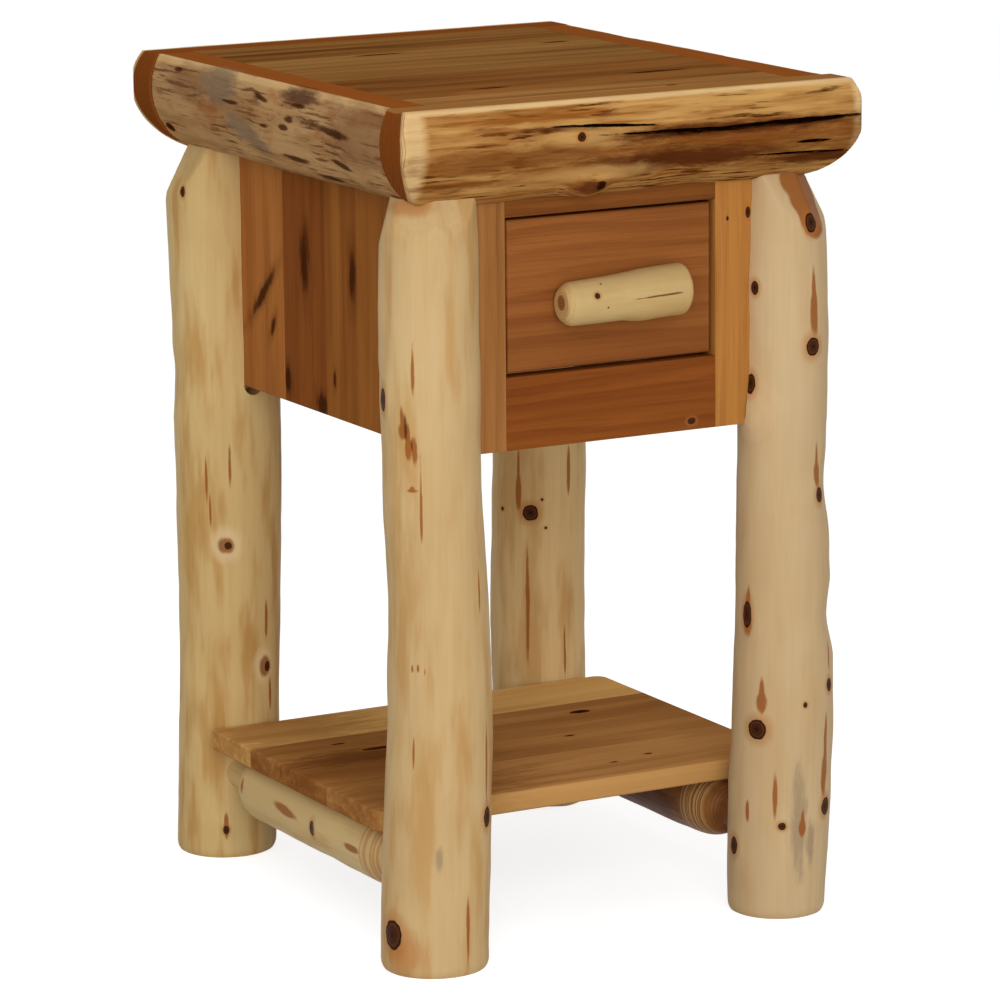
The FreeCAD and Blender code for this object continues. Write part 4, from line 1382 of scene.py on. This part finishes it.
# %% Sides and back
for side, seed in side_seeds.items():
    for index, (pale, dark) in enumerate(side_tones):
        node = "%s_side_board_%d" % (side, index + 1)
        low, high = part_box(node)
        board = saw_board("%s_side_plank_%d" % (side, index + 1), low, high, panel_ease)
        marks = side_marks[side].get(index)
        wood = board_wood(
            node + "_wood", UPRIGHT, (low + high) / 2, index + seed, pale, dark,
            figure=0.22, gloss=0.0, stains=side_stains(marks) if marks else (),
        )
        hand_over(board, wood, "case_board", "carcase", node)
for index, (pale, dark) in enumerate(back_tones):
    node = "back_board_%d" % (index + 1)
    low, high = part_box(node)
    board = saw_board("back_plank_%d" % (index + 1), low, high, panel_ease)
    wood = board_wood(node + "_wood", UPRIGHT, (low + high) / 2, index + back_seed, pale, dark)
    hand_over(board, wood, "case_board", "carcase", node)
print("sides and back done")

# %% Face frame
opening_half = 105.5
frame_tones = {
    "left_stile": (linear(168, 114, 62), linear(134, 84, 40)),
    "right_stile": (linear(184, 124, 60), linear(146, 90, 38)),
    # The top rail's tones are darker partly as painted shade from the front log above it.
    "top_rail": (linear(134, 79, 33), linear(100, 54, 21)),
    "bottom_rail": (linear(144, 80, 30), linear(108, 52, 16)),
}
frame_knots = {
    "bottom_rail": [mark(81, -230.7, 463, 4, 3, 3)],
    "right_stile": [mark(118, -230.7, 641, 1.3, 3, 2), mark(139, -230.7, 645, 2.4, 3, 5)],
}
frame_ease, frame_seed = 0.6, 31.2
for index, (member, (pale, dark)) in enumerate(frame_tones.items()):
    node = "face_frame_" + member
    low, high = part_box(node)
    turn = UPRIGHT
    if member.endswith("rail"):
        low.x, high.x = -opening_half * MM, opening_half * MM
        turn = ALONG_X
    board = saw_board("face_" + member, low, high, frame_ease)
    wood = board_wood(
        node + "_wood", turn, (low + high) / 2, index + frame_seed, pale, dark,
        knots=frame_knots.get(member, ()))
    hand_over(board, wood, "case_board", "carcase", node)
print("face frame done:", ", ".join(frame_tones))

# %% [markdown]
# ## The drawer front and its branch pull
# The drawer front is one board with rounded edges and lapped dovetail sockets for the sides. The packed
# mesh already has them, so it stays and only gets wood. The pull is a piece of branch, grown like the
# logs, with one end whittled to a blunt cone and a flat sawn on the back to seat it.

# %% Drawer front
drawer_seed = 41.9
drawer_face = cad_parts["drawer_front"]
low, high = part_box("drawer_front")
wood = board_wood(
    "drawer_face_wood", ALONG_X, (low + high) / 2, drawer_seed,
    linear(152, 92, 44), linear(118, 64, 27), pitch=16.0, figure=0.35)
dress(drawer_face, wood)
print("drawer front has", len(drawer_face.data.polygons), "faces")

# %% Branch pull
pull_left, pull_right = -59, 62
pull_y, pull_z = -245.5, 583.7
pull_radii = [19, 19.8, 20.8, 22.4, 23]
pull_tilt = 2.2
pull_seat = -227.7


def pull_ring(x, worn=0.0):
    """One ring of the pull, made smaller where an end is worn down."""
    share = (x - pull_left) / (pull_right - pull_left)
    centre = at(x, pull_y, pull_z + pull_tilt * (2 * share - 1))
    return centre, (along_curve(pull_radii, share) - worn) * MM


# Distance inside each end, and how much the radius is worn there
whittled = [(0, 5.5), (1.0, 4.4), (5.5, 0.9), (8, 0.0)]
sawn = [(0, 2.4), (0.8, 1.1), (2, 0.3), (4, 0.0)]
rings = [pull_ring(pull_left + inside, worn) for inside, worn in whittled]
rings += [pull_ring(x) for x in range(-46, 56, 4)]
rings += [pull_ring(pull_right - inside, worn) for inside, worn in reversed(sawn)]
pull = grow_log("branch_pull", rings, ALONG_X, 64)
undulate(pull, "whittled", 26, 1.4)
swell(pull, at(18, -250, 564), Vector((0, 0, -1)), 22, 1.5)
soften(pull, 1.0, 3)
slice_off(pull, at(0, pull_seat, 0), (0, 1, 0))
pull_wood = {
    "Sapwood": linear(190, 160, 107), "Heart Radius": 6 * MM, "Heartwood": linear(152, 100, 56), "Warmth": 0.6,
}
wood = wood_material(
    "branch_wood", log_wood, at(0, pull_y, pull_z), ALONG_X, {**peeled_log, **pull_wood},
    knots=[mark(-33, -264, 590, 2.6, 3, 2.6), mark(-26, -258, 599, 0.7, 2, 0.7),
           mark(-23, -265, 579, 0.7, 2, 0.7), mark(-53, -260, 578, 0.7, 2, 0.7)],
    stains=[(linear(104, 58, 26), 0.9, 0.25, [mark(32, -266, 585.5, 27, 4, 0.9, (0, tilt(-3), 0))])],
)
hand_over(pull, wood, "branch_pull", "drawer", "drawer_pull")
print("pull has", len(pull.data.polygons), "faces")

# %% [markdown]
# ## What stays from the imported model
# The drawer box with its dovetails, the runners and the other strips already have their right shape.
# As the drawer front does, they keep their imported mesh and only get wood: pale, plain boards, each with
# grain along its length.

# %% Inner boards
inner_pale, inner_dark = linear(206, 168, 116), linear(166, 120, 70)
inner_turns = {"drawer_back": ALONG_X, "drawer_bottom": ALONG_X}
inner_seed = 51.3
dressed = 0
for index, (name, part) in enumerate(sorted(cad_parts.items())):
    if part.hide_render or name.endswith("screws") or part is drawer_face:
        continue
    low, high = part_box(name)
    wood = board_wood(
        name + "_wood", inner_turns.get(name, ALONG_Y), (low + high) / 2, index + inner_seed,
        inner_pale, inner_dark, figure=0.4)
    dress(part, wood)
    dressed += 1
print("inner boards dressed:", dressed)

# %% [markdown]
# ## Screws
# The wood screws sit out of sight under the shelf, under the top and on the drawer. They are bright zinc
# with a little cloudy variation, because plating is never even.

# %% Screw steel
screw_steel = bpy.data.materials.new("screw_steel")
screw_steel.use_nodes = True
tree = screw_steel.node_tree
shader = tree.nodes["Principled BSDF"]
place = tree.nodes.new("ShaderNodeTexCoord").outputs["Object"]
cloud = noise(tree, place, (1, 1, 1), 400, 3)
tree.links.new(mix(tree, cloud, linear(150, 148, 140), linear(188, 186, 180)), shader.inputs["Base Color"])
tree.links.new(fade(tree, cloud, 0.3, 0.7, 0.28, 0.45), shader.inputs["Roughness"])
shader.inputs["Metallic"].default_value = 1.0
for name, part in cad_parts.items():
    if name.endswith("screws"):
        dress(part, screw_steel)
print("screws plated")

# %% [markdown]
# ## Floor and light
# The photograph has a pure white ground and broad, soft light from the front. The floor and the world
# are white where the camera looks straight at them, while the lamps stay at a plain level, so the
# wood keeps its written colours. A faint shadow still ties the feet to the floor.

# %% Floor
def looked_at(tree):
    """1 for the rays that show the ground, straight or reflected, and 0 for those that carry light."""
    ray = tree.nodes.new("ShaderNodeLightPath").outputs
    shown = sums(tree, "MAXIMUM", ray["Is Camera Ray"], ray["Is Glossy Ray"])
    return sums(tree, "MAXIMUM", shown, ray["Is Transmission Ray"])


deselect_all()
bpy.ops.mesh.primitive_plane_add(size=far_end)
floor = bpy.context.object
floor.name = "floor"
paper = bpy.data.materials.new("white_floor")
paper.use_nodes = True
tree = paper.node_tree
tree.nodes.remove(tree.nodes["Principled BSDF"])
seen = looked_at(tree)
matt = add_node(tree, "ShaderNodeBsdfDiffuse", {"Color": (0.62, 0.61, 0.60, 1)}).outputs[0]
shadow_catch = add_node(tree, "ShaderNodeBsdfDiffuse", {"Color": (0.50, 0.50, 0.50, 1)}).outputs[0]
glow = add_node(tree, "ShaderNodeEmission", {"Color": (1, 1, 1, 1), "Strength": 0.80}).outputs[0]
bright = add_node(tree, "ShaderNodeAddShader", {0: shadow_catch, 1: glow}).outputs[0]
shown = add_node(tree, "ShaderNodeMixShader", {0: seen, 1: matt, 2: bright}).outputs[0]
tree.links.new(shown, tree.nodes["Material Output"].inputs["Surface"])
floor.data.materials.append(paper)
print("floor laid")

# %% Light
world = bpy.data.worlds.new("studio")
bpy.context.scene.world = world
world.use_nodes = True
tree = world.node_tree
seen = looked_at(tree)
world_light = 0.40
strength = fade(tree, seen, 0.0, 1.0, world_light, 1.0)
backdrop = tree.nodes["Background"]
backdrop.inputs["Color"].default_value = (1, 1, 1, 1)
tree.links.new(strength, backdrop.inputs["Strength"])


def softbox(name, place, target, size, power):
    """A large square lamp that looks at a point."""
    deselect_all()
    bpy.ops.object.light_add(type="AREA", location=place)
    lamp = bpy.context.object
    lamp.name = name
    lamp.rotation_euler = (place - target).to_track_quat("Z", "Y").to_euler()
    lamp.data.size = size
    lamp.data.energy = power


lamp_target = Vector((0, 0, 0.4))
softbox("key", Vector((-1.4, -3.3, 1.55)), lamp_target, 2.6, 70)
softbox("low", Vector((-1.7, -3.3, 0.55)), lamp_target, 1.0, 11)
softbox("fill", Vector((2.6, -2.0, 1.2)), lamp_target, 1.6, 3)
softbox("side", Vector((-3.0, -0.6, 1.3)), lamp_target, 1.6, 6)
softbox("above", Vector((-0.2, -0.2, 2.9)), lamp_target, 1.6, 15)
bpy.context.scene.view_settings.view_transform = "Standard"
print("lamps set")
